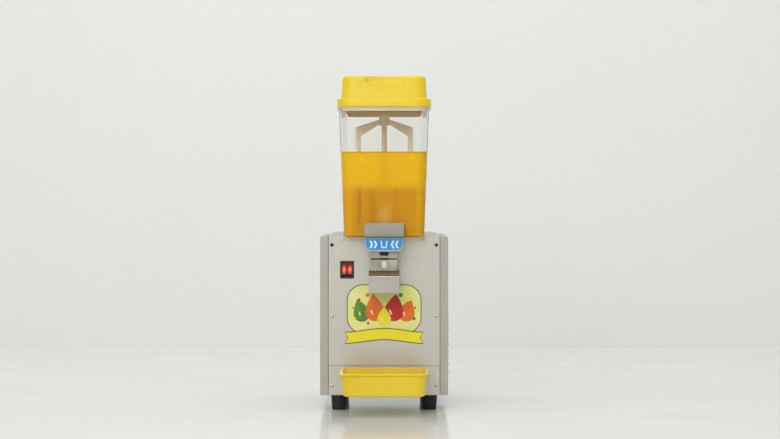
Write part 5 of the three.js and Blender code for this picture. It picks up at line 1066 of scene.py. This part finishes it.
shines = [
    (-46.0, 181.0, 4.0),
    (-23.0, 184.0, 5.0),
    (12.0, 184.0, 5.0),
    (37.0, 181.0, 4.0),
    (-4.0, 170.0, 3.4),
]
for number, (x, z, size) in enumerate(shines, 1):
    shine = [(x + size * (0.35 * across - 0.3 * up), z + size * up) for across, up in DISC]
    raised(f"print_shine_{number}", shine, label_white, "cabinet", FRONT_Y - 6 * PRINT_LAYER, PRINT_LAYER)

band("band_edge", BAND_WIDTH, 22.5, print_dark, 6)
band("band_face", 145.0, 19.5, print_yellow, 7)


# Screws with cross recesses

def screw_head(x, z, radius, at_rear=False):
    """A pan head with a cross recess, on the front or the rear panel."""
    profile = [(0, -0.6), (radius, -0.6), (radius, 0.5), (radius * 0.8, 1.3), (radius * 0.4, 1.7), (0, 1.8)]
    low, high, half = 0.9, 4.0, 0.4
    flared = [(-0.45 * radius, low), (0.45 * radius, low), (0.6 * radius, high), (-0.6 * radius, high)]
    slots = [prism(flared, -half, half), block(half, low, high, -0.5 * radius, 0.5 * radius)]
    shape = worked(turned(profile, steps=32), removed=slots)
    turn = math.radians(-90 if at_rear else 90)
    bmesh.ops.rotate(shape, cent=ORIGIN, matrix=Matrix.Rotation(turn, 3, "X"), verts=shape.verts)
    bmesh.ops.translate(shape, vec=(x, REAR_PANEL_Y if at_rear else FRONT_Y, z), verts=shape.verts)
    return shape


BLACK_SCREWS_FROM_Z = 300
BOWL_SCREW_Z = 320.2

for number in range(1, 7):
    node = f"panel_screw_{number}"
    low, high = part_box(node)
    middle = (low + high) / 2 / MM
    head_finish = blackened_steel if middle.z > BLACK_SCREWS_FROM_Z else bright_steel
    stand_in(f"cross_screw_{number}", screw_head(middle.x, middle.z, 3.4), head_finish, node)
for side, x in (("left", -77.0), ("right", 74.0)):
    head = screw_head(x, BOWL_SCREW_Z, 2.6)
    finished(f"bowl_screw_{side}", head, bright_steel, "cabinet", slot="bright_steel")
rear_places = [(x, z) for x in (-112, 112) for z in (36, 172, 306)]
for number, (x, z) in enumerate(rear_places, 1):
    head = screw_head(x, z, 3.0, at_rear=True)
    finished(f"rear_screw_{number}", head, bright_steel, "cabinet", slot="bright_steel")


# Louvre hoods on the sides and the rear

LOUVRE_LENGTH = 82.0
LOUVRE_HEIGHT = 6.6
LOUVRE_RISE = 3.6
LOUVRE_PITCH = 13.0
LOUVRE_SIDE = 50.0
LOUVRE_LOWEST_Z = 66.0


def louvre_rows():
    """Two columns of pressed hoods over the slots, facing up +Z and laid out along X and Y."""
    bm = bmesh.new()
    for row in range(9):
        for side in (-1, 1):
            made = bmesh.ops.create_grid(bm, x_segments=14, y_segments=5, size=0.5)
            for vert in made["verts"]:
                along = vert.co.x * 2
                down = 0.5 - vert.co.y
                swell = 1 - abs(along) ** 6
                vert.co.x *= LOUVRE_LENGTH
                vert.co.y = 5.6 - LOUVRE_HEIGHT * down
                vert.co.z = 0.2 + LOUVRE_RISE * swell * math.sin(down * math.pi / 2) ** 0.8
            place = (side * LOUVRE_SIDE, LOUVRE_LOWEST_Z + LOUVRE_PITCH * row, 0)
            bmesh.ops.translate(bm, vec=place, verts=made["verts"])
    bmesh.ops.recalc_face_normals(bm, faces=bm.faces)
    bmesh.ops.solidify(bm, geom=bm.faces[:], thickness=0.7)
    return bm


def louvres_on(name, turn, move, material, slot):
    bm = louvre_rows()
    bmesh.ops.transform(bm, matrix=turn, verts=bm.verts)
    bmesh.ops.translate(bm, vec=move, verts=bm.verts)
    finished(name, bm, material, "cabinet", slot=slot)


facing_right = Matrix(((0, 0, 1, 0), (1, 0, 0, 0), (0, 1, 0, 0), (0, 0, 0, 1)))
facing_left = Matrix(((0, 0, -1, 0), (-1, 0, 0, 0), (0, 1, 0, 0), (0, 0, 0, 1)))
facing_rear = Matrix(((-1, 0, 0, 0), (0, 0, 1, 0), (0, 1, 0, 0), (0, 0, 0, 1)))
louvres_on("right_louvres", facing_right, (HALF_WIDTH, 70.0, 0), brushed_steel, "steel")
louvres_on("left_louvres", facing_left, (-HALF_WIDTH, 70.0, 0), brushed_steel, "steel")
louvres_on("rear_louvres", facing_rear, (0, REAR_PANEL_Y, 0), galvanised_sheet, "galvanised")


# Materials of the nodes that stay

kept_finishes = {
    "base_pan": galvanised_sheet,
    "evaporator_coil": copper_tube,
    "drive_rotor": galvanised_sheet,
    "drive_motor": black_enamel,
    "motor_strap": galvanised_sheet,
    "impeller": white_plastic,
    "plunger_seal": black_rubber,
    "thermostat": white_plastic,
    "compressor": black_enamel,
    "start_relay": black_plastic,
    "condenser": aluminium_fins,
    "fan_shroud": galvanised_sheet,
    "fan_blade": black_plastic,
    "fan_motor": galvanised_sheet,
    "discharge_pipe": copper_tube,
    "suction_pipe": copper_tube,
    "filter_drier": copper_tube,
}
for node, material in kept_finishes.items():
    for holder in nodes[node].material_slots:
        holder.material = material


# Thermostat dial with plain numbers

DIAL_RADIUS = 20
DIAL_STEP = 56

for number in range(1, 6):
    text = bpy.data.curves.new(f"dial_{number}", "FONT")
    text.body = str(number)
    text.size = 8.0
    text.extrude = 0.06
    text.align_x = "CENTER"
    text.align_y = "CENTER"
    holder = placed(f"dial_{number}", text)
    digit = final_shape(holder)
    bpy.data.objects.remove(holder, do_unlink=True)
    bmesh.ops.remove_doubles(digit, verts=digit.verts, dist=0.001)
    bmesh.ops.transform(digit, matrix=facing_rear, verts=digit.verts)
    angle = math.radians(90 + DIAL_STEP * (3 - number))
    x = DIAL_X - DIAL_RADIUS * math.cos(angle)
    z = DIAL_Z + DIAL_RADIUS * math.sin(angle)
    bmesh.ops.translate(digit, vec=(x, REAR_PANEL_Y + text.extrude, z), verts=digit.verts)
    finished(f"dial_number_{number}", digit, print_dark, "cabinet")


# Floor, wall, light and camera, in metres

STAGE_HALF = 7.0
WALL_Y = 1.57
floor_finish = finish(
    "floor", (232, 233, 228), (229, 230, 224), 0.10, 0.16, cloud=0.8, grain=3.0, bump=0.0,
)
wall_finish = finish("wall", (240, 241, 238), (238, 239, 236), 0.6, 0.7, cloud=0.6, grain=4.0, bump=0.0)


def stage_sheet(name, matrix, material):
    bm = bmesh.new()
    bmesh.ops.create_grid(bm, x_segments=2, y_segments=2, size=STAGE_HALF)
    bmesh.ops.transform(bm, matrix=matrix, verts=bm.verts)
    made = mesh_object(name, bm)
    made.data.materials.append(material)


# A view from behind the wall passes through it
opened(wall_finish, "ShaderNodeNewGeometry", "Backfacing", WHITE)
stage_sheet("floor", Matrix.Identity(4), floor_finish)
stage_sheet("wall", Matrix.Translation((0, WALL_Y, STAGE_HALF)) @ UPRIGHT.to_4x4(), wall_finish)

world = bpy.data.worlds.new("studio")
world.use_nodes = True
world.node_tree.nodes["Background"].inputs["Color"].default_value = WHITE
world.node_tree.nodes["Background"].inputs["Strength"].default_value = 0.60
bpy.context.scene.world = world


def soft_light(name, place, aim, size, power):
    lamp = bpy.data.lights.new(name, "AREA")
    lamp.shape = "RECTANGLE"
    lamp.size = size[0]
    lamp.size_y = size[1]
    lamp.energy = power
    holder = placed(name, lamp)
    holder.location = place
    holder.rotation_euler = (Vector(aim) - Vector(place)).to_track_quat("-Z", "Y").to_euler()


soft_light("ceiling light", (0.0, -0.2, 3.2), (0.0, 0.0, 0.3), (3.0, 2.4), 34.0)
soft_light("front light", (-0.8, -3.4, 2.0), (0.0, 0.0, 0.35), (1.8, 1.8), 46.0)

SENSOR_WIDTH = 36.0
PICTURE_WIDTH = 780.0
LENS_PIXELS = 2133.0
SHIFT_PIXELS = -21.5
camera_data = bpy.data.cameras.new("camera")
camera_data.sensor_width = SENSOR_WIDTH
camera_data.lens = LENS_PIXELS / PICTURE_WIDTH * SENSOR_WIDTH
camera_data.shift_y = SHIFT_PIXELS / PICTURE_WIDTH
camera = placed("camera", camera_data)
camera.location = (0.011, -4.09, 0.398)
camera.rotation_euler = (math.radians(90), 0, 0)
bpy.context.scene.camera = camera
bpy.context.scene.view_settings.view_transform = "Standard"
